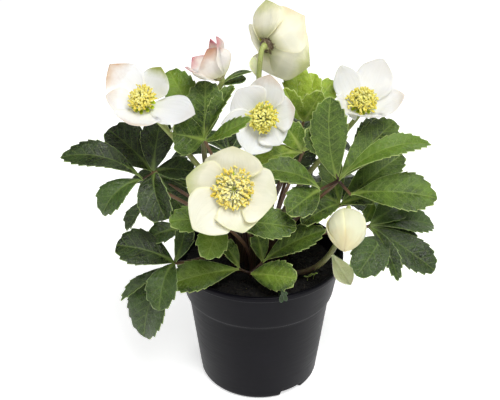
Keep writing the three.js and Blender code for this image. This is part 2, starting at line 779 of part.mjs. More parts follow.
/** The ring round the boss, its outer faces drawn out into small trumpets. */
function nectariesGeometry(axes, centre, lean, spread) {
  const { count, inner, outer, length, mouth, rim } = NECTARY;
  const low = RECEPTACLE.above + GAP;
  const points = [];
  for (let k = 0; k < count; k += 1) {
    const turn = (2 * Math.PI * k) / count;
    for (const [radius, height] of [[inner, low], [outer, low], [outer, low + rim], [inner, low + rim]]) {
      points.push(new THREE.Vector3(radius * Math.cos(turn), radius * Math.sin(turn), height));
    }
  }
  const faces = [];
  for (let k = 0; k < count; k += 1) {
    const [a, b] = [4 * k, 4 * ((k + 1) % count)];
    for (let side = 0; side < 4; side += 1) {
      const next = (side + 1) % 4;
      faces.push([a + side, b + side, b + next, a + next]);
    }
  }
  const ring = drawnOut(points, faces, (corners, index) => {
    if (index % 4 !== 1) return [];
    const middle = sum(...corners.map((corner) => [corner, 1 / 4]));
    const outward = new THREE.Vector3(middle.x, middle.y, 0).normalize();
    const along = sum([outward, Math.cos(radians(lean))], [UP, Math.sin(radians(lean))]);
    const across = new THREE.Vector3().crossVectors(UP, outward);
    const lift = new THREE.Vector3().crossVectors(along, across);
    const spot = sum([middle, 1], [along, length * spread]);
    const half = (mouth * spread) / 2;
    const signs = [[-1, -1], [1, -1], [1, 1], [-1, 1]];
    return [signs.map(([side, rise]) => sum([spot, 1], [across, side * half], [lift, rise * half]))];
  });
  return ontoBloom(ring.scale(spread, spread, 1), axes, centre);
}

/** A flower stem with its bracts, [which joint of the stem, reach, width, arch] each. */
function scapeGeometry({ foot, neck, bracts, launch }, axes, end) {
  const path = stalkPath(foot, end, axes.out, neck, SCAPE.steps, launch && vec(launch));
  const pieces = [rod(path, taper(path, SCAPE.foot, SCAPE.top), SCAPE.sides)];
  for (const [place, reach, width, arch] of bracts) {
    const base = path[place];
    const along = sum([path[place + 1], 1], [path[place - 1], -1]).normalize();
    const face = sum([along, reach[2] < 0 ? -1 : 1], [squareTo(along, vec(reach)), -1]).toArray();
    pieces.push(leaflet(base, sum([base, 1], [vec(reach), 1]), width, { arch, face, fold: 20 }));
  }
  return fuse(pieces);
}

/** The closed bud: five sepals wrapped round each other, each edge over the next. */
function budGeometry(axes, centre) {
  const { length, radius, lap, seat, columns, rows } = BUD;
  const points = [sum([centre, 1], [axes.out, -seat])];
  for (let r = 1; r < rows; r += 1) {
    const s = r / rows;
    const girth = radius * Math.sin(Math.PI * s ** 0.8) ** 0.75;
    for (let c = 0; c < columns; c += 1) {
      const overlap = ((BUD.sepals * c) / columns + BUD.twist * s) % 1;
      const reach = girth * (1 - lap + 2 * lap * overlap);
      const turn = (360 * c) / columns;
      points.push(sum([centre, 1], [axes.out, s * length - seat], [spoke(axes, turn), reach]));
    }
  }
  points.push(sum([centre, 1], [axes.out, length - seat]));
  const tip = points.length - 1;
  const at = (r, c) => 1 + (r - 1) * columns + (c % columns);
  const triangles = [];
  for (let c = 0; c < columns; c += 1) {
    triangles.push([0, at(1, c), at(1, c + 1)]);
    triangles.push([tip, at(rows - 1, c + 1), at(rows - 1, c)]);
    for (let r = 1; r < rows - 1; r += 1) {
      triangles.push([at(r, c), at(r + 1, c), at(r + 1, c + 1)]);
      triangles.push([at(r, c), at(r + 1, c + 1), at(r, c + 1)]);
    }
  }
  return geometryOf(points, triangles);
}

// ------------------------------------------------------------- pot and soil

/** The outer radius of the pot's wall at a height. */
function potRadius(height) {
  const { collarHeight, bodyRadius, footRadius, rimRadius, lipWidth, collarStep } = POT;
  if (height <= collarHeight) {
    return THREE.MathUtils.lerp(footRadius, bodyRadius, height / collarHeight);
  }
  const share = (height - collarHeight) / (POT.height - collarHeight);
  return THREE.MathUtils.lerp(bodyRadius + collarStep, rimRadius - lipWidth, share);
}

/** Turns a closed profile [radius, height] round the Z axis. */
function turned(profile, sides) {
  const geometry = new THREE.LatheGeometry(profile.map(([x, y]) => new THREE.Vector2(x, y)), sides);
  return geometry.rotateX(Math.PI / 2);
}

/** A box that lies across the pot's foot at one drain, grown by a margin. */
function drainBox(index, margin) {
  const turn = DRAIN.start + (360 / DRAIN.count) * index;
  const length = 2 * DRAIN.depth + margin;
  const box = new THREE.BoxGeometry(length, DRAIN.width + 2 * margin, DRAIN.height + 2 * margin);
  box.translate(POT.footRadius - DRAIN.depth - margin + length / 2, 0, DRAIN.height / 2);
  return box.rotateZ(radians(turn));
}

/** The inner radius of the pot's wall at a height. */
function insideRadius(height) {
  const { wall, collarHeight } = POT;
  if (height <= collarHeight) return potRadius(height) - wall;
  const share = (height - collarHeight) / (POT.height - collarHeight);
  return THREE.MathUtils.lerp(potRadius(collarHeight), potRadius(POT.height), share) - wall;
}

/** The inside of the pot as a closed profile, with a clearance to wall and floor. */
function insideProfile(clearance, top) {
  const low = POT.floor + clearance;
  return [
    [0, low],
    [insideRadius(0) - clearance - POT.footRound, low],
    [insideRadius(POT.footRound) - clearance, low + POT.footRound],
    [insideRadius(POT.collarHeight) - clearance, POT.collarHeight],
    [insideRadius(top) - clearance, top],
  ];
}

/** The pot: a tapered wall, a flared collar, a lip, and a drained foot. */
function potGeometry() {
  const { height, rimRadius, lipHeight, edge, collarHeight, footRound, sides } = POT;
  const foot = [30, 60].map((angle) => [
    potRadius(footRound) - footRound * (1 - Math.sin(radians(angle))),
    footRound * (1 - Math.cos(radians(angle))),
  ]);
  const outside = turned(
    [
      [0, 0],
      [potRadius(0) - footRound, 0],
      ...foot,
      [potRadius(footRound), footRound],
      [potRadius(collarHeight), collarHeight],
      [potRadius(collarHeight + 0.1), collarHeight + 1],
      [potRadius(height - lipHeight), height - lipHeight],
      [rimRadius, height - lipHeight + edge],
      [rimRadius, height - edge],
      [rimRadius - edge, height],
      [0, height],
    ],
    sides,
  );
  let pot = solidOf(outside);
  let inside = solidOf(turned([...insideProfile(0, height + 1), [0, height + 1]], sides));
  for (let i = 0; i < DRAIN.count; i += 1) {
    inside = inside.subtract(solidOf(drainBox(i, POT.wall)));
    pot = pot.subtract(solidOf(drainBox(i, 0).translate(0, 0, -GAP)));
  }
  return geometryOfSolid(pot.subtract(inside));
}

/** The soil: fills the pot, with a slightly uneven top and a hole for each stalk. */
function soilGeometry(stalks) {
  const { top, bump, rings } = SOIL;
  const profile = insideProfile(GAP + 0.1, top);
  const reach = profile.at(-1)[0];
  for (let r = rings - 1; r >= 0; r -= 1) profile.push([(reach * r) / rings, top]);
  const fill = turned(profile, SOIL.sides);
  const spots = fill.attributes.position;
  for (let i = 0; i < spots.count; i += 1) {
    const [x, y, z] = [spots.getX(i), spots.getY(i), spots.getZ(i)];
    const level = z > top - 0.01 ? Math.sin((Math.PI * Math.hypot(x, y)) / reach) : 0;
    spots.setZ(i, z + bump * level * (Math.sin(0.21 * x + 1) + Math.cos(0.17 * y)));
  }
  let soil = solidOf(fill);
  for (let i = 0; i < DRAIN.count; i += 1) {
    soil = soil.subtract(solidOf(drainBox(i, POT.wall + GAP)));
  }
  for (const { foot, radius, sides } of stalks) {
    const spot = new THREE.Vector3(foot[0], foot[1], top);
    soil = soil.subtract(solidOf(disc(spot, UP, -SOIL.hole, SOIL.hole, [radius, radius], sides)));
  }
  return geometryOfSolid(soil);
}

// ---------------------------------------------------------------- assembly

const plant = new THREE.Group();

/** Adds one named sub-part with a material of its own. */
function place(name, geometry, colour, roughness) {
  const material = new THREE.MeshStandardMaterial({ color: COLOURS[colour], roughness, metalness: 0 });
  geometry.computeVertexNormals();
  const mesh = new THREE.Mesh(geometry, material);
  mesh.name = name;
  plant.add(mesh);
}

const stalks = [];
/** Notes the hole that a stalk needs: its own section, grown by the gap. */
function holeFor(foot, radius, sides) {
  stalks.push({ foot, sides, radius: radius + GAP / Math.cos(Math.PI / sides) });
}

for (const [name, leaf] of Object.entries(LEAVES)) {
  place(name, leafGeometry(leaf), leaf.tint, 0.4);
  holeFor(leaf.foot, LEAF.stalkFoot, LEAF.sides);
}
const fanRandom = seeded(FAN.seed);
for (const [name, rule] of Object.entries(BACK_LEAVES)) {
  const leaf = fanLeaf(rule, fanRandom);
  place(name, leafGeometry(leaf), "dark", 0.4);
  holeFor(leaf.foot, LEAF.stalkFoot, LEAF.sides);
}

const bossRandom = seeded(11);
for (const [name, bloom] of Object.entries(BLOOMS)) {
  const axes = bloomAxes(bloom);
  const centre = vec(bloom.centre);
  const lean = bloom.sepals[0][3] + NECTARY.lean;
  const stemEnd = sum([centre, 1], [axes.out, -RECEPTACLE.below - GAP]);
  place(`bloom_${name}_stem`, scapeGeometry(bloom, axes, stemEnd), "scape", 0.5);
  place(`bloom_${name}_sepals`, sepalsGeometry(bloom, axes, centre), bloom.tint, 0.6);
  place(`bloom_${name}_stamens`, stamensGeometry(axes, centre, bloom.boss, bossRandom), "stamen", 0.7);
  place(`bloom_${name}_nectaries`, nectariesGeometry(axes, centre, lean, bloom.boss), "nectary", 0.5);
  holeFor(bloom.foot, SCAPE.foot, SCAPE.sides);
}

const budAxes = bloomAxes(BUD);
const budCentre = vec(BUD.centre);
const budStemEnd = sum([budCentre, 1], [budAxes.out, -BUD.seat - GAP]);
place("bud_stem", scapeGeometry(BUD, budAxes, budStemEnd), "scape", 0.5);
place("bud_sepals", budGeometry(budAxes, budCentre), "cream", 0.6);
holeFor(BUD.foot, SCAPE.foot, SCAPE.sides);

place("potting_soil", soilGeometry(stalks), "soil", 0.95);
place("pot", potGeometry(), "pot", 0.45);

export default plant;
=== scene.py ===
"""A Christmas rose (Helleborus niger) in flower, in a round black nursery pot.

Lengths are millimetres until a mesh is made, which is in metres. +Z is up, -Y is the
front and the origin is the middle of the pot's underside. Every piece but the weeds
stands for a solid of the frame: it has the same form, worked out finer on grids,
where s runs along a piece from 0 to 1 and t across it from -1 to 1.
"""

import math

import bpy
import numpy as np
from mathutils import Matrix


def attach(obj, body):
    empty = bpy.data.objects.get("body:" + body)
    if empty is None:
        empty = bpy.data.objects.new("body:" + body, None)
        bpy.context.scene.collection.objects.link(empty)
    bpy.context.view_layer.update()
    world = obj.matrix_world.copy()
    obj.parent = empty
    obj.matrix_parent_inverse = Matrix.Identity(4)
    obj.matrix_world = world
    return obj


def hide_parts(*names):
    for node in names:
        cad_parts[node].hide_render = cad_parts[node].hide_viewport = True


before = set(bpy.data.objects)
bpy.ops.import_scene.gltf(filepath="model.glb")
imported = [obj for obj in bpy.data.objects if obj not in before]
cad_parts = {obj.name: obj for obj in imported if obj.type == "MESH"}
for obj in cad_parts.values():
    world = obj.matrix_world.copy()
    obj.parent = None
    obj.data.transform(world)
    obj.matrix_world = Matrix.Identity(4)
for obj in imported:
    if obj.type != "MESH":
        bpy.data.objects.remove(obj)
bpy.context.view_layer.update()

MM = 0.001
UP = np.array([0.0, 0.0, 1.0])

# ------------------------------------------------------------------- dimensions

CAMERA = {"place": (-7.2, -508.4, 428.5), "pitch": 28.4, "lens": 55.6, "sensor": 36}

POT = {
    "height": 110, "rim": 65, "lip_height": 4, "lip_width": 1.6, "collar": 78, "step": 2.4,
    "body": 56, "foot": 47.2, "foot_round": 5, "wall": 1.5, "floor": 1.8, "sectors": 180,
}
DRAIN = {"count": 3, "start": -57, "width": 20, "depth": 11, "height": 5.7, "corner": 0.5}
SOIL = {
    "top": 97, "depth_in": 10.7, "bump": 1.2, "clear": 0.4, "rings": 64, "sectors": 220,
    "crumbs": 1300, "crumb_size": (0.3, 1.9), "fibres": 90, "fibre_length": (4, 13), "fibre": 0.2,
}
GRAINS = ((0.55, 31, 9, 12), (0.42, 32, 3.6, 16), (0.22, 33, 1.7, 18))  # (height, seed, size, waves)

# A stalk rises straight by clear, goes on upwards by swing, a share of its reach, and
# ends in a straight bit. foot, top and branch are radii, past is how far a stalk runs
# into what it carries, and gap the room between two solids.
STALK = {"clear": 3, "straight": 1.5, "swing": 0.4, "steps": 26, "sides": 10}
LEAF = {
    "foot": 1.6, "top": 1.2, "branch": 1, "neck": 0.3, "lean": 0.7, "past": 0.8, "thickness": 0.5,
    "row": 0.85, "columns": (0.035, 0.09, 0.18, 0.3, 0.45, 0.62, 0.78, 0.9, 0.965, 1),
    "least_foot": 0.95, "least_tip": 0.14, "wave": (0.03, 0.07), "waves": (1.2, 2.2), "droop": 0.07,
}
TOOTH = {"pitch": 5.4, "depth": 1.7, "forward": 2}
VEIN = {"pitch": 6.2, "slant": 0.8, "bend": 0.014, "swell": 0.32, "rib": 0.55}
SCAPE = {"foot": 2.4, "top": 1.8, "swell": (1.05, 1.2, 1.45), "steps": 36, "sides": 14}
SEPAL = {
    "thickness": 0.5, "start": 4.2, "cup": 0.012, "lap": 0.16, "rows": 38, "columns": 27,
    "ragged": 0.018, "wave": 0.055, "furrow": 0.15, "furrows": 9, "keel": 0.5, "roll": 0.9,
}
RECEPTACLE = {"radius": 5.2, "below": 1.5, "above": 1.3, "gap": 0.3, "sides": 24}
CORE = {"radius": 3.2, "height": 4.3, "profile": [(3.2, 1.7), (3.1, 3), (2.4, 4.6), (1.2, 5.6)], "sides": 20}
STAMEN = {"count": 210, "reach": 10, "filament": 0.38, "anther": 1.4, "lean": 10, "stray": 0.13}
GOLDEN_ANGLE = 137.508
PISTIL = {"count": 6, "start": 3, "reach": 8.5}
NECTARY = {"count": 12, "ring": 4.9, "rise": 0.75, "length": 5, "mouth": 1.5, "lean": 18, "sides": 12}

# Square soft boxes: (place and size in metres, power). They look at the aim.
LIGHTS = {
    "overhead_softbox": ((0.42, -0.85, 1.75), 1.0, 33),
    "left_softbox": ((-1.5, -0.7, 0.9), 0.8, 4),
    "right_softbox": ((1.1, 1.1, 1.1), 0.8, 6),
}
STAGE = {"aim": (0, 0, 0.16), "floor": 6.0, "world": 0.17}

# --------------------------------------------------------------------- the plant
#
# A leaf has its material, the foot of its stalk on the soil, the hub where its leaflets
# meet, and its leaflets (tip, width, shape). In shape, base is a base away from the hub,
# arch lifts the middle, bow pushes it sideways, crest is where the arch peaks, face is
# the way the upper side looks, fold closes the two halves, in degrees, and point goes
# from a blunt tip, 0, to a pointed one, 1. shade lightens the green, and glow brings the
# green of a young leaf to the middle.

LEAVES = {
    "leaf_front": ("leaf_mid", (3, -13), (-7, -33, 110), [
        ((-67, -50, 111), 25, dict(
            shade=0.25, glow=0.6, base=(-15, -32, 113), arch=5, face=(-0.1, -0.75, 1), fold=14,
        )),
        ((-30, -20, 131), 15, dict(shade=0.3, base=(-15, -32, 113), arch=3, face=(0.2, -0.5, 1), fold=25)),
        ((26, -54, 120), 23, dict(shade=0.35, glow=0.8, arch=3, face=(-0.1, -1.2, 1), fold=8, point=0)),
        ((48, -26, 143), 23, dict(
            shade=-0.1, glow=0.2, base=(2, -26, 115), arch=5, face=(-0.1, -0.5, 1), point=0.7,
        )),
        ((-2, -14, 132), 15, dict(shade=0.3, base=(2, -26, 115), arch=3, face=(0, -0.4, 1), fold=20)),
    ]),
    "leaf_lower_left": ("leaf_dark", (-16, -10), (-62, -36, 121), [
        ((-103, -38, 137), 31, dict(shade=-0.2, arch=6, face=(0.05, -0.5, 1), fold=12, point=0)),
        ((-100, -55, 101), 16, dict(shade=0.3, arch=1, face=(-0.5, -0.3, 1), fold=34, point=1)),
        ((-84, -62, 74), 38, dict(shade=0.7, arch=9, crest=0.45, face=(-0.8, -0.9, 0.7), fold=12, point=0)),
        ((-71, -68, 102), 24, dict(
            shade=0.9, glow=0.2, arch=9, crest=0.45, face=(-0.3, -1, 0.6), fold=12, point=0,
        )),
        ((-55, -18, 141), 17, dict(arch=5, face=(0.5, -0.6, 1), fold=30)),
        ((-80, -28, 138), 18, dict(base=(-56, -20, 141), arch=3, face=(0, -0.7, 1), fold=10)),
    ]),
    "leaf_behind_bloom": ("leaf_mid", (-6, -15), (-27, -38, 157), [
        ((-63, -48, 163), 20, dict(shade=1.1, face=(0, -0.9, 1), fold=12)),
        ((-37, -62, 141), 23, dict(
            shade=1.4, glow=0.5, arch=5, crest=0.45, face=(-0.1, -1.3, 0.8), fold=16,
        )),
        ((25, -46, 156), 24, dict(shade=0.4, arch=5, face=(0.1, -0.9, 1), fold=14)),
    ]),
    "leaf_left_long": ("leaf_dark", (-20, -3), (-84, -14, 178), [
        ((-139, -22, 199), 24, dict(shade=-0.2, arch=14, crest=0.55, face=(0.05, -0.55, 1), point=0.7)),
        ((-111, -34, 160), 24, dict(shade=1.4, arch=10, crest=0.55, face=(-0.3, -0.75, 1), point=0.5)),
        ((-98, -20, 139), 19, dict(
            base=(-80, -17, 165), arch=0, face=(-0.8, -0.5, 0.8), fold=28, point=0.8,
        )),
        ((-65, -42, 161), 30, dict(
            shade=0, base=(-74, -14, 184), arch=9, face=(-0.4, -0.9, 0.6), fold=34, point=0,
        )),
    ]),
    "leaf_left_upper": ("leaf_dark", (-19, 5), (-80, 10, 172), [
        ((-112, 18, 203), 34, dict(shade=-0.2, arch=5, face=(0.1, -0.75, 1), fold=14)),
        ((-74, 26, 206), 26, dict(shade=-0.2, arch=6, face=(0.1, -0.75, 1), fold=14, point=0)),
        ((-48, 4, 175), 22, dict(face=(0.1, -0.6, 1), fold=14)),
        ((-56, 12, 133), 26, dict(arch=5, face=(0.1, -0.9, 0.9), fold=12)),
    ]),
    "leaf_centre_left": ("leaf_mid", (-10, -5), (-39, -12, 208), [
        ((-60, -24, 218), 28, dict(shade=0, arch=3, face=(0, -1.4, 0.8), fold=8, point=0)),
        ((-65, 22, 247), 25, dict(shade=1.3, glow=0.7, arch=5, face=(0, -1, 0.9), fold=12, point=0)),
        ((-38, -2, 248), 26, dict(shade=0.1, face=(0.1, -1.2, 0.7), fold=14, point=0)),
        ((-18, -4, 245), 15, dict(arch=5, face=(-0.5, -0.9, 0.7), fold=34)),
        ((-6, -50, 240), 15, dict(shade=1, glow=0.3, arch=3, bow=7, face=(0, -0.7, 1), fold=20)),
    ]),
    "leaf_young": ("leaf_fresh", (5, 9), (32, 16, 210), [
        ((24, 26, 251), 22, dict(face=(0, -1.2, 0.7), fold=14, point=0)),
        ((17, 6, 240), 16, dict(arch=3, face=(-0.3, -1.2, 0.5), fold=20)),
        ((40, 24, 244), 20, dict(face=(-0.3, -1, 0.6), fold=26)),
        ((54, 32, 236), 19, dict(face=(0.1, -1, 0.8), fold=14)),
        ((43, 4, 238), 20, dict(arch=3, face=(0, -1.3, 0.6), fold=20)),
    ]),
    "leaf_young_low": ("leaf_fresh", (8, 0), (31, 0, 193), [
        ((17, 2, 215), 20, dict(shade=-0.4, arch=3, face=(-0.1, -1, 0.8), fold=20)),
        ((-4, -14, 190), 20, dict(arch=5, face=(0, -0.8, 1))),
        ((49, 10, 207), 20, dict(shade=-0.3, face=(0, -0.9, 1))),
    ]),
    "leaf_centre": ("leaf_dark", (1, 12), (20, 24, 163), [
        ((-8, 26, 190), 24, dict(shade=-0.3, face=(0, -0.8, 1), fold=14)),
        ((-14, 21, 158), 24, dict(shade=-0.3, arch=5, face=(0, -0.8, 1), fold=14)),
        ((40, 36, 146), 26, dict(shade=-0.3, arch=6, face=(0, -0.9, 1), fold=14)),
        ((41, 37, 178), 22, dict(shade=0, arch=6, face=(0, -0.9, 1), fold=14)),
    ]),
    "leaf_right": ("leaf_mid", (14, -5), (56, -16, 178), [
        ((47, -20, 243), 27, dict(shade=0.5, arch=3, bow=-4, face=(-0.05, -1.2, 0.6), fold=14, point=0)),
        ((31, -22, 221), 17, dict(base=(50, -18, 195), arch=1, face=(-0.05, -1.2, 0.6), fold=8, point=1)),
        ((98, 12, 212), 26, dict(shade=0.3, arch=5, face=(0, -0.8, 1), point=0)),
        # This leaflet's shade of 1.3 is partly painted highlight: it lightens the leaflet for the sheen of
        # light on it.
        ((119, -18, 207), 18, dict(shade=1.3, arch=20, crest=0.6, face=(0, -0.7, 1), fold=18, point=1)),
        ((18, -52, 171), 24, dict(shade=0.1, base=(42, -28, 177), face=(-0.2, -1.1, 0.8), point=0.5)),
        ((-2, -34, 195), 22, dict(
            shade=0.5, base=(42, -28, 177), arch=9, face=(0, -0.6, 1), fold=20, point=0.7,
        )),
        ((124, -32, 172), 32, dict(
            shade=0.6, base=(65, -18, 168), arch=7, face=(0, -0.7, 1), fold=14, point=0.5,
        )),
        ((87, 22, 210), 18, dict(base=(65, -4, 184), arch=3, face=(0, -0.8, 1), point=0)),
    ]),
    "leaf_lower_right": ("leaf_dark", (20, -2), (79, -24, 145), [
        ((130, -10, 137), 22, dict(shade=1.3, arch=8, face=(0.2, -0.6, 1), point=0.6)),
        ((116, -28, 131), 20, dict(arch=3, face=(0.2, -0.7, 1), fold=14, point=0.6)),
        ((125, -46, 121), 26, dict(shade=0.3, arch=3, face=(0.2, -0.8, 1), fold=14, point=0)),
        ((96, -62, 123), 14, dict(arch=8, face=(0.2, -0.9, 1), fold=24)),
        ((66, -66, 130), 27, dict(
            shade=0.9, base=(87, -32, 139), arch=9, crest=0.45, face=(-0.1, -1, 0.7), fold=12, point=0,
        )),
        # This leaflet's shade of 1.4 is painted light: it lightens a leaflet that lies in the shadow of
        # leaf_right.
        ((106, -6, 154), 22, dict(shade=1.4, arch=4, face=(0, -0.8, 1), fold=12)),
    ]),
    "leaf_curled": ("leaf_mid", (15, 3), (60, -2, 150), [
        ((30, -30, 150), 20, dict(arch=6, face=(0, -0.6, 1), fold=28, point=0)),
        ((109, 26, 179), 27, dict(arch=5, face=(0.1, -0.6, 1), point=0)),
        ((50, 22, 178), 20, dict(face=(0, -0.8, 1))),
        ((36, -2, 163), 20, dict(face=(0, -0.8, 1), fold=12)),
        ((88, -6, 158), 15, dict(arch=5, face=(0, -0.6, 1), fold=20)),
        ((77, -18, 145), 12, dict(base=(84, -6, 157), arch=2, face=(0.2, -0.9, 0.5), fold=20)),
    ]),
}

# The leaves at the back fan out by one rule: (direction of the stalk in degrees, how
# far out and how high the hub is, number of leaflets).
BACK_LEAVES = {
    "leaf_back_right": (34, 60, 142, 4),
    "leaf_back_right_high": (56, 54, 180, 4),
    "leaf_back": (88, 50, 138, 4),
    "leaf_back_left_high": (118, 50, 170, 4),
    "leaf_back_left": (148, 62, 148, 4),
}
FAN = {
    "foot": 19, "length": 52, "width": 28, "vary": 0.1, "spread": 40, "turn": 5, "outer": 0.09,
    "droop": 8, "outer_droop": 5, "arch": 7, "tilt": 0.25, "seed": 7,
}

# A bloom has the material of its sepals, for one bloom a slot, its centre, the way it
# faces, the foot of its stem, the straight bit behind it, how wide its boss is, how far
# its stamens lean out in degrees, how green they are, how pointed its sepals are, its
# bracts (share of the way up the stem, reach, width, arch and, for some, the way the
# upper side looks) and its sepals (turn from the top in degrees, length, width, rise at
# the base, rise at the tip, blush of the tip, green of the tip). launch is the way a stem
# sets off, and bract the material of its bracts.
BLOOMS = {
    "front": dict(
        material="sepal_cream", centre=(-18, -62, 195), faces=(0.02, -0.88, 0.47), foot=(-5, -8.5), neck=22,
        boss=1.2, splay=76, green=0, point=0.35, bracts=[(4 / 7, (12, 3, 18), 9, -2)],
        sepals=[
            (0, 25, 38, 8, 32, 0.1, 0.25), (104, 26, 37, 8, 30, 0, 0.2), (168, 26, 30, 8, 28, 0, 0.3),
            (226, 34, 35, 8, 28, 0, 0.1), (284, 29, 30, 8, 32, 0, 0.7),
        ],
    ),
    "centre": dict(
        material="sepal_white", centre=(2, -14, 226), faces=(-0.1, -1, 0.32), foot=(1, -3), neck=12,
        boss=0.85, splay=50, green=0.6, point=0.3, bracts=[(5 / 7, (-9, -1, 18), 9, -2)],
        sepals=[
            (8, 27, 25, 10, 30, 0.6, 0), (72, 20, 26, 10, 30, 0.5, 0), (146, 19, 22, 10, 30, 0, 0.1),
            (199, 24, 27, 10, 30, 0, 0.1), (260, 26, 17, 10, 30, 0.1, 0.1), (316, 23, 29, 10, 30, 0.1, 0),
        ],
    ),
    "left": dict(
        material="sepal_white", centre=(-80, -8, 233), faces=(-0.12, -0.66, 0.75), foot=(-14, 1), neck=20,
        boss=0.8, splay=36, green=0.3, point=0.5,
        bracts=[(5 / 7, (11, -4, 16), 11, -2), (5 / 7, (-8, 6, 15), 8, -2)],
        sepals=[
            (-49, 33, 28, 10, 34, 0.9, 0), (25, 25, 26, 12, 50, 0, 1), (104, 38, 26, 8, 24, 0.15, 0),
            (180, 28, 33, 25, 60, 0.5, 0), (262, 25, 19, 20, 60, 0.4, 0),
        ],
    ),
    "right": dict(
        material="sepal_white", centre=(73, 12, 223), faces=(0, -0.52, 0.85), foot=(10, 10), neck=20,
        boss=0.9, splay=46, green=0.5, point=0, bracts=[(5 / 7, (4, 9, 18), 9, -2)],
        sepals=[
            (-33, 31, 21, 12, 62, 0, 0.15), (28, 35, 30, 12, 60, 0.1, 0), (94, 29, 27, 12, 50, 0.35, 0),
            (172, 26, 27, 30, 62, 0.1, 0), (244, 24, 23, 30, 60, 0, 0.1),
        ],
    ),
    "back": dict(
        material="sepal_back", slot="sepal_cream", centre=(4, 8, 270), faces=(0.62, 0.77, 0.1),
        foot=(-1, 5), neck=9, boss=1, splay=60, green=0.3, point=0.8,
        bracts=[(4 / 7, (9, 9, 17), 9, -2), (5 / 7, (-4, 13, 12), 9, -2)],
        sepals=[
            (20, 28, 36, 16, 46, 0, 0.7), (102, 20, 28, 16, 46, 0, 0.3), (182, 30, 38, 14, 44, 0, 0.1),
            (240, 30, 40, 14, 44, 0, 0.7), (-48, 30, 36, 16, 46, 0.5, 0),
        ],
    ),
    "pink": dict(
        material="sepal_blush", centre=(-28, -2, 251), faces=(-0.5, -0.1, 0.86), foot=(-7, 3), neck=5,
        launch=(-65, 22, 90), boss=0.6, splay=16, green=0.3, point=0.4, bract="leaf_dark",
        bracts=[(6 / 7, (22, 4, 9), 5, 4), (6 / 7, (18, 8, 3), 10, 1)],
        sepals=[
            (324, 25, 19, 60, 92, 1, 0), (16, 28, 21, 60, 80, 0.8, 0), (68, 25, 25, 62, 94, 0.9, 0.5),
            (158, 25, 26, 48, 70, 0.8, 0), (232, 21, 19, 52, 68, 1, 0),
        ],
    ),
}

# The closed bud hangs on a stem like theirs. half_wrap is how far a sepal goes round to
# either side and twist how far it turns on its way to the tip, as a share of the way to
# the next one; lap is how far its edges lie in and out, and seat how low the bud sits.
BUD = dict(
    centre=(61, -41, 166), faces=(-0.15, -0.9, -0.42), foot=(11, -12), launch=(48, -34, 0), neck=13,
    length=33, radius=13, sepals=5, half_wrap=52, lap=0.08, seat=1, twist=0.35, rows=40, columns=31,
    bracts=[(3 / 7, (13, -21, -14), 15, -2, (-0.3, -0.7, 1))],
)

# The weeds: seedlings (x, y, size), and a wisp that leans over the rim at the front, with
# the curve of its stalk and its leaflets (tip, width).
SEEDLINGS = ((36, -24, 0.85), (41, -20, 0.7))
WISP = {
    "stalk": [(13, -50, SOIL["top"] - 1), (14, -55, 116), (15.5, -61, 113.2)],
    "leaflets": [((14.6, -64.9, 106.6), 3.4), ((18.6, -64, 107.4), 3.4), ((19.4, -61.8, 111.6), 2.6)],
}

# -------------------------------------------------------------------- small helpers


def vec(values):
    """The values as an array of floats."""
    return np.asarray(values, float)


def unit(v):
    """The direction of v, at length 1."""
    v = vec(v)
    return v / np.maximum(np.linalg.norm(v, axis=-1, keepdims=True), 1e-9)


def square_to(axis, v):
    """The part of v at right angles to axis, at length 1."""
    return unit(v - np.sum(v * axis, axis=-1, keepdims=True) * axis)


def smooth(low, high, x):
    """0 below low, 1 above high, and a smooth ramp 3x^2 - 2x^3 between them."""
    x = np.clip((x - low) / (high - low), 0, 1)
    return x * x * (3 - 2 * x)


def each_half(rng, t):
    """A random number for the half where t is below 0, and another for the other half."""
    return rng.random(2)[(t > 0) * 1]


def seeded(seed):
    """Even numbers from 0 to 1, each worked out from the last one, as the frame's own
    back leaves have them."""
    while True:
        seed = (seed * 1664525 + 1013904223) % 2**32
        yield seed / 2**32


def grid_faces(rows, columns, closed=False):
    """The quads of a grid of rows by columns; closed joins the last column to the first."""
    r, c = np.mgrid[0:rows - 1, 0:columns - (not closed)]
    n = (c + 1) % columns
    corners = [r * columns + c, r * columns + n, (r + 1) * columns + n, (r + 1) * columns + c]
    return np.stack(corners, -1).reshape(-1, 4)


class Surfaces:
    """Closed surfaces in millimetres, gathered for one mesh.

    Each point carries three vectors for its material. blade is the distance across,
    along and in from the edge, in millimetres. place is where it lies across, from -1
    to 1, and along, from 0 to 1, and 1 on an underside; on a round body, across is the
    share of the way round. tint is up to the material.
    """

    values = ("blade", "place", "tint")

    def __init__(self):
        self.points = []
        self.faces = []
        self.carried = {name: [] for name in self.values}
        self.count = 0

    def add(self, points, *faces, **carried):
        """Takes in points, blocks of faces that count from 0, and the vectors they carry."""
        points = points.reshape(-1, 3)
        self.points.append(points)
        self.faces += [block + self.count for block in faces]
        for name in self.values:
            value = vec(carried.get(name, 0))
            if value.size > 3:
                value = value.reshape(-1, 3)
            self.carried[name].append(np.broadcast_to(value, points.shape))
        self.count += len(points)

    def mesh(self, name):
        """One smooth-shaded mesh of all that was gathered, in metres."""
        mesh = bpy.data.meshes.new(name)
        corners = np.concatenate([block.ravel() for block in self.faces])
        sizes = np.concatenate([np.full(len(block), block.shape[1]) for block in self.faces])
        mesh.vertices.add(self.count)
        mesh.vertices.foreach_set("co", (np.concatenate(self.points) * MM).ravel())
        mesh.loops.add(len(corners))
        mesh.loops.foreach_set("vertex_index", corners.astype(np.int32))
        mesh.polygons.add(len(sizes))
        mesh.polygons.foreach_set("loop_start", (np.cumsum(sizes) - sizes).astype(np.int32))
        mesh.polygons.foreach_set("use_smooth", np.ones(len(sizes), bool))
        for value in self.values:
            layer = mesh.attributes.new(value, "FLOAT_VECTOR", "POINT")
            layer.data.foreach_set("vector", np.concatenate(self.carried[value]).ravel())
        mesh.update(calc_edges=True)
        return mesh


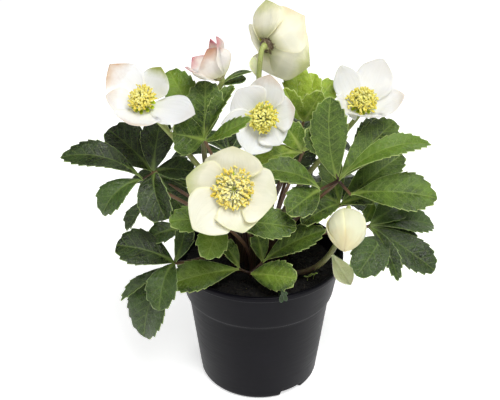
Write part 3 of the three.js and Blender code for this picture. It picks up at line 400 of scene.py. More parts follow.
def add_sheet(out, grid, half_up, half_down, blade, across, along, tint):
    """A closed sheet: the grid moved along its own normals, half_up to its upper side
    and half_down to the other, and a strip round the rim."""
    rows, columns = grid.shape[:2]
    normal = unit(np.cross(np.gradient(grid, axis=1), np.gradient(grid, axis=0)))
    upper = grid + normal * half_up
    lower = grid - normal * half_down
    place = np.zeros((2, rows, columns, 3))
    place[..., 0] = across
    place[..., 1] = along
    place[1, ..., 2] = 1
    index = np.arange(rows * columns).reshape(rows, columns)
    rim = np.concatenate([index[0, :-1], index[:-1, -1], index[-1, :0:-1], index[:0:-1, 0]])
    after = np.roll(rim, -1)
    size = rows * columns
    strip = np.stack([rim, rim + size, after + size, after], -1)
    face = grid_faces(rows, columns)
    blades = np.stack([blade, blade])
    out.add(np.stack([upper, lower]), face, face[:, ::-1] + size, strip, blade=blades, place=place, tint=tint)


def add_rounds(out, rings, tint, place=None):
    """Closed bodies made of rings: n bodies of m rings of k points, shape (n, m, k, 3),
    with a fan of triangles over the first and over the last ring."""
    n, m, k = rings.shape[:3]
    if place is None:
        place = np.zeros(rings.shape)
        place[..., 0] = np.arange(k) / k
        place[..., 1] = np.linspace(0, 1, m)[:, None]
    tint = np.broadcast_to(vec(tint), rings.shape)
    ends = [0, -1]
    flat = [np.concatenate([a.reshape(n, -1, 3), a[:, ends].mean(axis=2)], 1) for a in (rings, place, tint)]
    corner = np.arange(k)
    after = (corner + 1) % k
    first = np.stack([np.full(k, m * k), after, corner], -1)
    last = np.stack([np.full(k, m * k + 1), (m - 1) * k + corner, (m - 1) * k + after], -1)
    step = (m * k + 2) * np.arange(n)[:, None, None]
    quads = (grid_faces(m, k, closed=True) + step).reshape(-1, 4)
    fans = (np.concatenate([first, last]) + step).reshape(-1, 3)
    out.add(flat[0], quads, fans, place=flat[1], tint=flat[2])


def add_tubes(out, paths, radii, sides, tint=0):
    """Round tubes: at each point of n paths of m points, a ring at right angles to the path."""
    paths = vec(paths)
    along = unit(np.gradient(paths, axis=1))
    chord = unit(paths[:, -1] - paths[:, 0])
    steady = np.where(np.abs(chord[:, :1]) < 0.9, vec([1, 0, 0]), vec([0, 1, 0]))[:, None]
    side = square_to(along, steady)
    third = np.cross(along, side)
    turn = 2 * np.pi * np.arange(sides)[:, None] / sides
    ring = side[:, :, None] * np.cos(turn) + third[:, :, None] * np.sin(turn)
    radii = np.broadcast_to(vec(radii), paths.shape[:2])[..., None, None]
    tint = vec(tint)
    if tint.ndim == 2:
        tint = tint[:, None, None, :]
    add_rounds(out, paths[:, :, None] + radii * ring, tint)


def new_object(name, data):
    """A new object in the scene."""
    thing = bpy.data.objects.new(name, data)
    bpy.context.scene.collection.objects.link(thing)
    return thing


def make_piece(name, surfaces, material, slot, *nodes):
    """One finished piece, which rides on the plant's only body and stands for its solids."""
    piece = new_object(name, surfaces.mesh(name))
    piece.data.materials.append(material)
    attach(piece, "root")
    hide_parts(*nodes)


# -------------------------------------------------------------------------- shapes


def bezier(points, s):
    """A quadratic or cubic Bezier curve at the places s, and its direction there."""
    points = [vec(p) for p in points]
    s = vec(s)[:, None]
    order = len(points) - 1
    weights = [math.comb(order, k) * s**k * (1 - s) ** (order - k) for k in range(order + 1)]
    place = sum(w * p for w, p in zip(weights, points))
    lower = [math.comb(order - 1, k) * s**k * (1 - s) ** (order - 1 - k) for k in range(order)]
    return place, unit(sum(w * (b - a) for w, a, b in zip(lower, points, points[1:])))


def stalk_path(foot, end, arrival, neck, steps, launch=None):
    """Straight up out of the soil, one cubic Bezier curve, and a last straight bit."""
    soil = vec([*foot, SOIL["top"]])
    start = soil + STALK["clear"] * UP
    last = end - STALK["straight"] * arrival
    set_off = vec(launch) if launch else STALK["swing"] * np.linalg.norm(end - start) * UP
    curve, _ = bezier([start, start + set_off, last - neck * arrival, last], np.linspace(0, 1, steps))
    return np.concatenate([[soil - SOIL["depth_in"] * UP, soil], curve, [end]])


def leaflet_width(s, point):
    """Half the width of a leaflet, 0 to 1: sin(pi s^a)^b, broadest past the middle, with
    an end from blunt, a 1.65 and b 0.6, to pointed, a 1.45 and b 0.95."""
    return np.sin(np.pi * np.clip(s, 0, 1) ** (1.65 - 0.2 * point)) ** (0.6 + 0.35 * point)


def add_leaflet(
    out, rng, start, tip, width, arch=4, bow=0, crest=0.5, fold=16, face=(0, -1, 1), point=0.3, teeth=1,
    shade=None, glow=0,
):
    """One blade along a quadratic Bezier midrib. Its halves rise at the fold angle in a
    soft V, the root of t^2 + 0.006. Its edge waves and is turned down a little by t^4,
    the lamina swells between the side veins as sin^2, and the edge of the outer half is
    a saw whose teeth point forward. The sheet thins towards its edge, and a rib runs
    under the midrib as a bell curve."""
    start, tip = vec(start), vec(tip)
    face = unit(face)
    chord = tip - start
    length = np.linalg.norm(chord)
    lift = square_to(chord / length, face)
    aside = unit(np.cross(chord, lift))
    control = start + chord * crest + lift * 2 * arch + aside * 2 * bow
    s = np.linspace(0, 1, int(length / LEAF["row"]) + 8)
    middle, along = bezier([start, control, tip], s)
    side = unit(np.cross(along, face))
    up = np.cross(side, along)
    side, up, along, middle = side[:, None], up[:, None], along[:, None], middle[:, None]
    t = vec(LEAF["columns"])
    t = np.concatenate([-t[::-1], [0], t])[None, :]
    s = s[:, None]
    least = LEAF["least_foot"] * (1 - s) ** 2 + LEAF["least_tip"]
    half = np.maximum(width / 2 * leaflet_width(s, point), least)
    y = s * length
    saw = (y / TOOTH["pitch"] + 0.5 * (t < 0) + rng.random()) % 1
    tooth = np.minimum(saw, 4.5 * (1 - saw))
    open_edge = teeth * smooth(0.3, 0.5, s) * (1 - smooth(0.95, 1, s)) * np.abs(t) ** 6
    x = half * t + np.sign(t) * open_edge * TOOTH["depth"] * (tooth - 0.5)
    wave = rng.uniform(*LEAF["wave"]) * half * t**2
    wave = wave * np.sin(2 * np.pi * (rng.uniform(*LEAF["waves"]) * s + each_half(rng, t)))
    vein = (y - VEIN["slant"] * np.abs(x) - VEIN["bend"] * x**2) / VEIN["pitch"]
    inside = smooth(0.02, 0.25, np.abs(t)) * (1 - np.abs(t) ** 4) * smooth(0.05, 0.2, s)
    swell = VEIN["swell"] * np.sin(np.pi * vein) ** 2 * inside
    rise = math.sin(math.radians(fold)) * 1.12 * (np.sqrt(t**2 + 0.006) - 0.077)
    height = half * (rise - LEAF["droop"] * t**4) + wave + swell * teeth
    shift = open_edge * TOOTH["forward"] * tooth
    spread = math.cos(math.radians(fold))
    grid = middle + side * (x * spread)[..., None] + up * height[..., None] + along * shift[..., None]
    edge = half * (1 - np.abs(t))
    blade = np.stack([x, y + shift, edge], -1)
    rib = VEIN["rib"] * (1 - 0.8 * s) * np.exp(-(x / 0.75) ** 2)
    thin = LEAF["thickness"] / 2 * np.minimum(1, 0.35 + edge / 0.6)
    chance = rng.random(2)[0]
    # A given shade goes on as tint x; on two leaflets of the table it is partly painted light.
    tint = (chance if shade is None else shade, glow, 0)
    add_sheet(out, grid, thin[..., None], (thin + rib)[..., None], blade, t, s, tint)


def taper(path, first, last):
    """A radius at each point of a path, shrinking evenly with the length behind it."""
    run = np.concatenate([[0], np.cumsum(np.linalg.norm(np.diff(path, axis=0), axis=1))])
    return first + (last - first) * run / run[-1]


# -------------------------------------------------------------------------- leaves


def make_leaf(name, slot, foot, hub, leaflets, materials, rng):
    """A stalk that rises out of the soil, side branches, and the leaflets at its hub."""
    blades, stalk = Surfaces(), Surfaces()
    hub = vec(hub)
    outward = unit([hub[0] - foot[0], hub[1] - foot[1], LEAF["lean"] * (hub[2] - SOIL["top"])])
    neck = LEAF["neck"] * np.linalg.norm(hub - vec([*foot, SOIL["top"]]))
    path = stalk_path(foot, hub, outward, neck, STALK["steps"])
    path = np.concatenate([path, [hub + LEAF["past"] * outward]])
    tint = (rng.random(), 0, 0)
    add_tubes(stalk, [path], taper(path, LEAF["foot"], LEAF["top"]), STALK["sides"], tint)
    for tip, width, shape in leaflets:
        shape = dict(shape)
        start = vec(shape.pop("base", hub))
        if np.linalg.norm(start - hub) > 0.1:
            branch = hub + (start + LEAF["past"] * unit(start - hub) - hub) * np.linspace(0, 1, 6)[:, None]
            add_tubes(stalk, [branch], taper(branch, LEAF["top"], LEAF["branch"]), STALK["sides"], tint)
        add_leaflet(blades, rng, start, tip, width, **shape)
    make_piece(f"{name}_blades", blades, materials[slot], slot, name)
    make_piece(f"{name}_stalk", stalk, materials["leaf_stalk"], slot, name)


def fan_leaflets(azimuth, reach, height, count, random):
    """The hub and leaflets of a back leaf: count leaflets spread evenly round the
    direction of the stalk, each turned, lengthened and dropped a little at random."""

    def towards(degrees):
        """A level direction."""
        return vec([math.cos(math.radians(degrees)), math.sin(math.radians(degrees)), 0])

    def varied():
        """1, give or take the share that leaflets vary by."""
        return 1 - FAN["vary"] + 2 * FAN["vary"] * next(random)

    hub = towards(azimuth) * reach + height * UP
    leaflets = []
    for i in range(count):
        off = i - (count - 1) / 2
        heading = towards(azimuth + off * FAN["spread"] + FAN["turn"] * (2 * next(random) - 1))
        length = FAN["length"] * (1 - FAN["outer"] * abs(off)) * varied()
        drop = FAN["droop"] * (next(random) - 0.2) + FAN["outer_droop"] * abs(off)
        tip = hub + heading * length - drop * UP
        width = FAN["width"] * varied()
        leaflets.append((tip, width, dict(arch=FAN["arch"], face=UP + FAN["tilt"] * heading)))
    return tuple(towards(azimuth)[:2] * FAN["foot"]), hub, leaflets


# -------------------------------------------------------------------------- blooms


def bloom_axes(faces):
    """Out of a bloom's face, up its face, and to the viewer's right."""
    out = unit(faces)
    up = square_to(out, UP)
    return out, up, np.cross(up, out)


def spoke(axes, degrees):
    """A direction in the plane of a bloom, turned clockwise from its top."""
    turn = np.radians(degrees)
    return axes[1] * np.cos(turn) + axes[2] * np.sin(turn)


def add_sepal(out, rng, centre, axes, point, turn, length, width, rise_base, rise_tip, blush, green):
    """A sepal whose rise r turns evenly from base to tip: at s it has run out by
    length (sin r - sin r0)/(r1 - r0) and risen by length (cos r0 - cos r)/(r1 - r0).
    Half its width is sin(pi (0.015 + 0.98 s^1.05))^q, where q grows towards the tip by
    point. Its edges curl up as x^2 and wave, one lies higher than the other so that
    sepals overlap, and shallow furrows, a cosine of t, run along it beside a keel."""
    outward = spoke(axes, turn)
    side = np.cross(outward, axes[0])
    s = np.linspace(0, 1, SEPAL["rows"])[:, None]
    t = np.sin(np.linspace(-np.pi / 2, np.pi / 2, SEPAL["columns"]))[None, :]
    first, last = math.radians(rise_base), math.radians(rise_tip)
    rise = first + (last - first) * s
    run = SEPAL["start"] + length * (np.sin(rise) - math.sin(first)) / (last - first)
    height = length * (math.cos(first) - np.cos(rise)) / (last - first)
    sharp = 0.72 + 0.5 * point * np.clip((s - 0.45) / 0.55, 0, 1)
    half = width / 2 * np.sin(np.pi * (0.015 + 0.98 * s**1.05)) ** sharp
    ragged = SEPAL["ragged"] * np.sin(2 * np.pi * (3.1 * s + each_half(rng, t)))
    x = half * t * (1 + ragged * smooth(0.3, 0.6, s))
    wave = SEPAL["wave"] * half * np.abs(t) ** 2.5 * np.sin(2 * np.pi * (1.7 * s + each_half(rng, t)))
    furrow = SEPAL["furrow"] * np.cos(SEPAL["furrows"] * np.pi * t)
    furrow = furrow * smooth(0.05, 0.3, s) * (1 - smooth(0.7, 1, s))
    keel = -SEPAL["keel"] * np.exp(-((t / 0.16) ** 2)) * smooth(0, 0.2, s) * (1 - s)
    roll = SEPAL["roll"] * rng.uniform(-0.6, 1) * smooth(0.8, 1, s) * (1 - t**2)
    curl = SEPAL["cup"] * x**2 + SEPAL["lap"] * x + wave * smooth(0.1, 0.5, s) + furrow + keel + roll
    normal = -np.sin(rise)[..., None] * outward + np.cos(rise)[..., None] * axes[0]
    grid = vec(centre) + run[..., None] * outward + height[..., None] * axes[0] + x[..., None] * side
    grid = grid + curl[..., None] * normal
    edge = np.minimum(half * (1 - np.abs(t)), length * (1 - s))
    blade = np.stack([x, s * length + 0 * t, edge], -1)
    thin = SEPAL["thickness"] / 2 * np.minimum(1, 0.4 + edge / 1.5)[..., None]
    add_sheet(out, grid, thin, thin, blade, t, s, (blush, green, rng.random()))


def placed(bloom, axes, points):
    """Points (right, up, out) of a bloom in the plant's own directions, from its centre."""
    return vec(bloom["centre"]) + points @ np.stack([axes[2], axes[1], axes[0]])


def ring_bodies(centre, axes, profile, sides):
    """Rings round a bloom's axis from a profile of (radius, height)."""
    spokes = np.stack([spoke(axes, -360 * k / sides) for k in range(sides)])
    return vec(centre) + profile[:, None, :1] * spokes + profile[:, None, 1:] * axes[0]


def add_receptacle(out, centre, axes):
    """The swollen top of the stem that carries the sepals, a turned profile."""
    low, high = -RECEPTACLE["below"], RECEPTACLE["above"]
    profile = vec([(0.5, low), (0.78, 0.6 * low), (0.94, 0.1 * low), (0.85, high)])
    profile = profile * vec([RECEPTACLE["radius"], 1])
    rings = ring_bodies(centre, axes, profile, RECEPTACLE["sides"])[None]
    add_rounds(out, rings, (0, 0, 0), np.broadcast_to(vec([0, 0, 1]), rings.shape))


def add_pistils(out, bloom, axes):
    """The core that the stamens stand on, and the styles in its middle. They lean out by
    the square of their height and swell towards the foot as a bell curve."""
    turn = 2 * np.pi * np.arange(PISTIL["count"])[:, None] / PISTIL["count"]
    height = np.linspace(0, 1, 9)
    swing = 0.9 + 1.2 * height**2
    rise = PISTIL["start"] + PISTIL["reach"] * height + 0 * turn
    styles = np.stack([swing * np.cos(turn), swing * np.sin(turn), rise], -1)
    thick = 0.3 + 0.75 * np.exp(-((height / 0.35) ** 2))
    add_tubes(out, placed(bloom, axes, styles), thick, 8, (0.5, 0, 1))
    core = vec(CORE["profile"]) * vec([0.6 + 0.4 * bloom["boss"], 1])
    add_rounds(out, ring_bodies(bloom["centre"], axes, core, CORE["sides"])[None], (0.5, 0, 1))


def make_stamens(name, bloom, axes, materials, rng):
    """The boss. Stamen k stands on the core at the golden angle times k. Its filament
    curves outward and ends in an anther, whose girth is that of an ellipse with a dent
    in its middle."""
    out = Surfaces()
    count = STAMEN["count"]
    k = np.arange(count)
    turn = np.radians(GOLDEN_ANGLE * k) + rng.normal(0, STAMEN["stray"], count)
    climb = np.sqrt((k + 4) / (count + 4))
    lean = np.radians(STAMEN["lean"] + (bloom["splay"] - STAMEN["lean"]) * climb**1.1)
    lean = lean + rng.normal(0, STAMEN["stray"], count)
    level = RECEPTACLE["above"] + RECEPTACLE["gap"] + CORE["height"] * (1 - climb) ** 0.7 * 0.8
    around = np.stack([np.cos(turn), np.sin(turn), 0 * turn], -1)
    root = around * (CORE["radius"] * climb * bloom["boss"])[:, None] + level[:, None] * UP
    reach = STAMEN["reach"] * (0.84 + 0.16 * climb) * rng.uniform(0.76, 1.12, count)
    s = np.linspace(0, 1, 6)
    bend = lean[:, None] * (0.75 + 0.35 * s) + rng.normal(0, 0.06, (count, 1))
    steps = np.sin(bend)[..., None] * around[:, None] + np.cos(bend)[..., None] * UP
    steps = steps * (reach / (len(s) - 1))[:, None, None]
    paths = root[:, None] + np.concatenate([np.zeros((count, 1, 3)), np.cumsum(steps[:, 1:], axis=1)], 1)
    pale = np.clip(1.15 - 1.05 * climb + rng.normal(0, 0.22, count), 0, 1)
    shade = np.stack([pale, np.zeros(count), np.full(count, bloom["green"])], -1)
    thick = np.linspace(1.25, 0.8, len(s)) * STAMEN["filament"]
    add_tubes(out, placed(bloom, axes, paths), thick, 4, shade)
    heading = unit(steps[:, -1] / STAMEN["reach"] * 5 + rng.normal(0, 0.75, (count, 3)))
    size = STAMEN["anther"] * rng.uniform(0.75, 1.15, count)
    middle = placed(bloom, axes, paths[:, -1] + 0.2 * unit(steps[:, -1]))
    ends = np.linspace(-1, 1, 6)
    axis = placed(bloom, axes, heading) - vec(bloom["centre"])
    anthers = middle[:, None] + axis[:, None] * (ends[:, None] * size[:, None, None])
    fat = np.sqrt(1 - (0.93 * ends) ** 2) * (1 - 0.18 * np.exp(-((ends / 0.3) ** 2)))
    shade = shade + vec([0, 1, 0])
    add_tubes(out, anthers, fat * size[:, None] * 0.6, 6, shade)
    add_pistils(out, bloom, axes)
    node = f"bloom_{name}_stamens"
    make_piece(f"{node}_fine", out, materials["stamen"], "stamen", node)


def make_nectaries(name, bloom, axes, materials, rng):
    """The ring of small trumpets round the boss: each widens to an open slanted mouth,
    and its inside goes back down as a smaller trumpet."""
    out = Surfaces()
    spread = bloom["boss"]
    lean = math.radians(bloom["sepals"][0][3] + NECTARY["lean"])
    count = NECTARY["count"]
    turn = 2 * np.pi * (np.arange(count) + 0.25 * rng.random(count)) / count
    around = np.stack([np.cos(turn), np.sin(turn), 0 * turn], -1)
    beside = np.stack([-np.sin(turn), np.cos(turn), 0 * turn], -1)
    along = around * math.cos(lean) + UP * math.sin(lean)
    lift = np.cross(along, beside)
    length = NECTARY["length"] * (0.5 + 0.5 * spread) * rng.uniform(0.85, 1.1, count)
    mouth = NECTARY["mouth"] * (0.5 + 0.5 * spread)
    outside = [(0.3, 0), (0.55, 0.15), (0.62, 0.5), (0.85, 0.85), (1, 1)]
    shape = vec(outside + [(0.9, 1), (0.7, 0.85), (0.4, 0.45), (0.2, 0.3)])
    angle = 2 * np.pi * np.arange(NECTARY["sides"]) / NECTARY["sides"]
    ring = beside[:, None] * np.cos(angle)[:, None] - lift[:, None] * np.sin(angle)[:, None]
    slant = 1 + 0.14 * np.sin(angle)
    depth = (shape[:, 1:] * slant)[None, ..., None] * length[:, None, None, None] * along[:, None, None]
    width = shape[:, 0][None, :, None, None] * mouth * ring[:, None]
    foot = around * NECTARY["ring"] * spread + UP * (RECEPTACLE["above"] + NECTARY["rise"])
    bodies = foot[:, None, None] + width + depth
    inside = np.zeros(bodies.shape)
    inside[..., 1] = vec([0, 0.1, 0.3, 0.6, 0.85, 0.9, 0.95, 1, 1])[:, None]
    add_rounds(out, placed(bloom, axes, bodies), (0, 0, 0), inside)
    node = f"bloom_{name}_nectaries"
    make_piece(f"{node}_fine", out, materials["nectary"], "nectary", node)


def make_stem(name, plan, axes, end, materials, rng):
    """A fleshy flower stem, a little swollen under the bloom, with its bracts. A bract
    looks back along the stem unless it hangs or its facing is given."""
    stem, bracts = Surfaces(), Surfaces()
    path = stalk_path(plan["foot"], end, axes[0], plan["neck"], SCAPE["steps"], plan.get("launch"))
    radii = taper(path, SCAPE["foot"], SCAPE["top"])
    radii[-3:] *= vec(SCAPE["swell"])
    add_tubes(stem, [path], radii, SCAPE["sides"], (rng.random(), 1, 0))
    make_piece(f"{name}_flesh", stem, materials["flower_stem"], "flower_stem", name)
    curve, heading = path[2:-1], unit(np.gradient(path[2:-1], axis=0))
    for share, reach, width, arch, *facing in plan["bracts"]:
        joint = round(share * (len(curve) - 1))
        along, reach = heading[joint], vec(reach)
        face = vec(facing[0]) if facing else along * (-1 if reach[2] < 0 else 1) - square_to(along, reach)
        start = curve[joint]
        shape = dict(arch=arch, face=face, fold=20, teeth=0)
        add_leaflet(bracts, rng, start, start + reach, width, **shape)
    make_piece(f"{name}_bracts", bracts, materials[plan.get("bract", "bract")], "flower_stem", name)


def make_bloom(name, bloom, materials, rng):
    """A stem, and at its end the sepals on their receptacle, the boss and the nectaries."""
    axes = bloom_axes(bloom["faces"])
    centre = vec(bloom["centre"])
    stem_end = centre - axes[0] * (RECEPTACLE["below"] + RECEPTACLE["gap"])
    make_stem(f"bloom_{name}_stem", bloom, axes, stem_end, materials, rng)
    sepals = Surfaces()
    for shape in bloom["sepals"]:
        add_sepal(sepals, rng, centre, axes, bloom["point"], *shape)
    add_receptacle(sepals, centre, axes)
    node = f"bloom_{name}_sepals"
    slot = bloom.get("slot", bloom["material"])
    make_piece(f"{node}_fine", sepals, materials[bloom["material"]], slot, node)
    make_stamens(name, bloom, axes, materials, rng)
    make_nectaries(name, bloom, axes, materials, rng)


def make_bud(materials, rng):
    """Five sepals wrapped round each other, each with one edge over the next. At s the
    bud has sin(pi s^0.8)^0.75 of its full radius, and a sepal goes from inside to
    outside of that by the lap as it goes round."""
    axes = bloom_axes(BUD["faces"])
    centre = vec(BUD["centre"])
    stem_end = centre - axes[0] * (BUD["seat"] + RECEPTACLE["gap"])
    make_stem("bud_stem", BUD, axes, stem_end, materials, rng)
    out = Surfaces()
    s = np.linspace(0.012, 0.995, BUD["rows"])[:, None]
    t = np.linspace(-1, 1, BUD["columns"])[None, :]
    girth = BUD["radius"] * np.sin(np.pi * s**0.8) ** 0.75
    share = 360 / BUD["sepals"]
    for k in range(BUD["sepals"]):
        turn = share * k + BUD["half_wrap"] * t + share * BUD["twist"] * s
        pleat = 0.006 * np.cos(5 * np.pi * t) * smooth(0.1, 0.4, s)
        reach = girth * (1 + BUD["lap"] * t * 0.9 + pleat) + 0.25 * t
        spokes = spoke(axes, turn[..., None])
        height = s * BUD["length"] - BUD["seat"] + 0.4 * np.cos(2.2 * t) * s
        grid = centre + reach[..., None] * spokes + height[..., None] * axes[0]
        edge = girth * (1 - np.abs(t))
        blade = np.stack([girth * t, s * BUD["length"] + 0 * t, edge], -1)
        thin = SEPAL["thickness"] / 2 * np.minimum(1, 0.4 + edge / 1.5)[..., None]
        add_sheet(out, grid[:, ::-1], thin, thin, blade[:, ::-1], t[:, ::-1], s, (0.5, 0.2, rng.random()))
    make_piece("bud_sepals_fine", out, materials["sepal_bud"], "sepal_cream", "bud_sepals")


# -------------------------------------------------------------------- pot and soil


def pot_radius(height):
    """The outer radius of the pot: a cone up to the collar, a step, and a wider cone."""
    low = POT["foot"] + (POT["body"] - POT["foot"]) * height / POT["collar"]
    share = (height - POT["collar"]) / (POT["height"] - POT["collar"])
    start, end = POT["body"] + POT["step"], POT["rim"] - POT["lip_width"]
    return np.where(height <= POT["collar"], low, start + (end - start) * share)


def inner_radius(height):
    """The inner radius: the same lower cone and one wider cone with no step, less the wall."""
    share = (height - POT["collar"]) / (POT["height"] - POT["collar"])
    wide = POT["body"] + (POT["rim"] - POT["lip_width"] - POT["body"]) * share
    return np.where(height <= POT["collar"], pot_radius(height), wide) - POT["wall"]


def drain_turns():
    """Where the drain notches are round the pot, in radians."""
    return np.radians(DRAIN["start"] + 360 / DRAIN["count"] * np.arange(DRAIN["count"]))


def sector_angles():
    """Even angles round the pot, and more of them where the sides of a drain notch are."""
    even = np.linspace(0, 2 * np.pi, POT["sectors"], endpoint=False)
    side = math.asin(DRAIN["width"] / 2 / POT["foot"])
    near = np.linspace(-0.03, 0.03, 9)
    extra = [turn + sign * side + near for turn in drain_turns() for sign in (-1, 1)]
    return np.unique(np.round(np.concatenate([even, *extra]) % (2 * np.pi), 5))


def notch_share(angles, margin):
    """1 inside a drain notch and 0 outside it, with a ramp as wide as its corner."""
    share = np.zeros(len(angles))
    for turn in drain_turns():
        off = np.abs((angles - turn + np.pi) % (2 * np.pi) - np.pi) * POT["foot"]
        half = DRAIN["width"] / 2 + margin
        share = np.maximum(share, 1 - smooth(half - DRAIN["corner"], half + DRAIN["corner"], off))
    return share


def turned(low, notch, rest, angles, margin):
    """A profile of (radius, height) turned round Z. Its lower stretch changes from low
    to notch, point for point, where the drains are."""
    share = notch_share(angles, margin)[None, :, None]
    stretch = vec(low)[:, None] * (1 - share) + vec(notch)[:, None] * share
    rest = np.repeat(vec(rest)[:, None], len(angles), axis=1)
    profile = np.concatenate([stretch, rest])
    radius, height = profile[..., 0], profile[..., 1]
    return np.stack([radius * np.cos(angles), radius * np.sin(angles), height], -1)


def arc(centre, radius, first, last, steps):
    """Points (radius, height) on an arc from the first to the last angle in degrees."""
    turn = np.radians(np.linspace(first, last, steps))
    return np.stack([centre[0] + radius * np.cos(turn), centre[1] + radius * np.sin(turn)], -1)


def foot_stretch(radius_at, floor, foot_round, margin):
    """The lower stretch of a wall, plain and notched, with as many points in each."""
    inner = POT["foot"] - DRAIN["depth"] - margin
    top = DRAIN["height"] + margin
    wall = float(radius_at(top))
    bend = arc((float(radius_at(foot_round)) - foot_round, floor + foot_round), foot_round, -90, 0, 9)
    plain = np.concatenate([[(1, floor), (inner, floor)], bend, [(float(radius_at(top + 2)), top + 2)]])
    steps = np.linspace(0, 1, 4)[:, None]
    up = vec([inner, floor]) * (1 - steps) + vec([inner, top]) * steps
    out = vec([inner, top]) * (1 - steps) + vec([wall - 0.3, top]) * steps
    around = np.concatenate([up[1:], out[1:], arc((wall - 0.5, top + 0.5), 0.5, -60, 0, 3)])
    notched = np.concatenate([[(1, floor), (inner, floor)], around, [(float(radius_at(top + 2)), top + 2)]])
    return plain, notched


def make_pot(materials):
    """A thin-walled pot: its outer profile up to the rolled lip, and the inner one down."""
    out = Surfaces()
    angles = sector_angles()
    height, rim, collar = POT["height"], POT["rim"], POT["collar"]
    plain, notched = foot_stretch(pot_radius, 0, POT["foot_round"], 0)
    wall = [(float(pot_radius(z)), z) for z in np.linspace(12, collar - 0.6, 24)]
    shoulder = [(0.2, -0.1), (0.75, 0.35), (1.03, 1)]
    step = [(POT["body"] + share * POT["step"], collar + rise) for share, rise in shoulder]
    flare = [(float(pot_radius(z)), z) for z in np.linspace(collar + 2, height - POT["lip_height"] - 0.3, 14)]
    under = height - POT["lip_height"]
    lip = [(float(pot_radius(under)) + 0.4, under + 0.1), (rim - 0.5, under + 0.25)]
    lip_side = arc((rim - 0.6, under + 0.9), 0.6, -60, 0, 4)
    lip_top = arc((rim - 1, height - 1), 1, 0, 90, 6)
    mouth = arc((float(inner_radius(height)) + 0.8, height - 0.8), 0.8, 90, 180, 5)
    inside = [(float(inner_radius(z)), z) for z in np.linspace(height - 2, 13, 26)]
    rest = np.concatenate([wall, step, flare, lip, lip_side, lip_top, mouth, inside])
    outer = turned(plain, notched, rest, angles, 0)
    plain, notched = foot_stretch(inner_radius, POT["floor"], POT["foot_round"], POT["wall"])
    inner = turned(plain, notched, np.zeros((0, 2)), angles, POT["wall"])[::-1]
    rings = np.concatenate([outer, inner])
    run = np.linspace(0, 1, len(rings))[:, None]
    place = np.stack([angles[None] / np.pi + 0 * run, run + 0 * angles, 0 * run + 0 * angles], -1)
    add_rounds(out, rings[None], (0, 0, 0), place[None])
    make_piece("pot_shell", out, materials["pot_plastic"], "pot_plastic", "pot")


def rough(x, y, rng, size, count):
    """Smooth noise of about the given size: a sum of count cosine waves that run in
    random directions, from -1 to 1 or so."""
    total = 0
    for _ in range(count):
        heading, phase = rng.uniform(0, 2 * np.pi, 2)
        wave = 2 * np.pi / (size * rng.uniform(0.7, 1.5))
        total = total + np.cos(wave * (x * math.cos(heading) + y * math.sin(heading)) + phase)
    return total / math.sqrt(count)


def soil_wall(height):
    """The soil's outer radius, clear of the pot."""
    return inner_radius(height) - SOIL["clear"]


def soil_level(x, y):
    """The height of the peat over its plain top: sine waves along X and Y, which sink to
    nothing at the middle and at the edge, and noise of three sizes."""
    reach = np.hypot(x, y) / soil_wall(SOIL["top"])
    level = SOIL["bump"] * np.sin(np.pi * np.minimum(reach, 1)) * (np.sin(0.21 * x + 1) + np.cos(0.17 * y))
    for tall, seed, size, waves in GRAINS:
        level = level + tall * rough(x, y, np.random.default_rng(seed), size, waves)
    return level


def make_soil_bed(materials):
    """Peat that fills the pot: a profile turned round Z, its top lifted to its level."""
    out = Surfaces()
    top, clear = SOIL["top"], SOIL["clear"]
    even = np.linspace(0, 2 * np.pi, SOIL["sectors"], endpoint=False)
    angles = np.unique(np.concatenate([sector_angles(), even]))
    plain, notched = foot_stretch(soil_wall, POT["floor"] + clear, POT["foot_round"], POT["wall"] + clear)
    side = [(float(soil_wall(z)), z) for z in np.linspace(16, top - 1.5, 10)]
    disc = [(float(soil_wall(top)) * r, top) for r in np.linspace(0.995, 0.012, SOIL["rings"])]
    rings = turned(plain, notched, side + disc, angles, POT["wall"] + clear)
    rings[..., 2] += np.where(rings[..., 2] > top - 1, soil_level(rings[..., 0], rings[..., 1]), 0)
    add_rounds(out, rings[None], (0, 0, 0))
    make_piece("soil_bed", out, materials["potting_mix"], "potting_mix", "potting_soil")


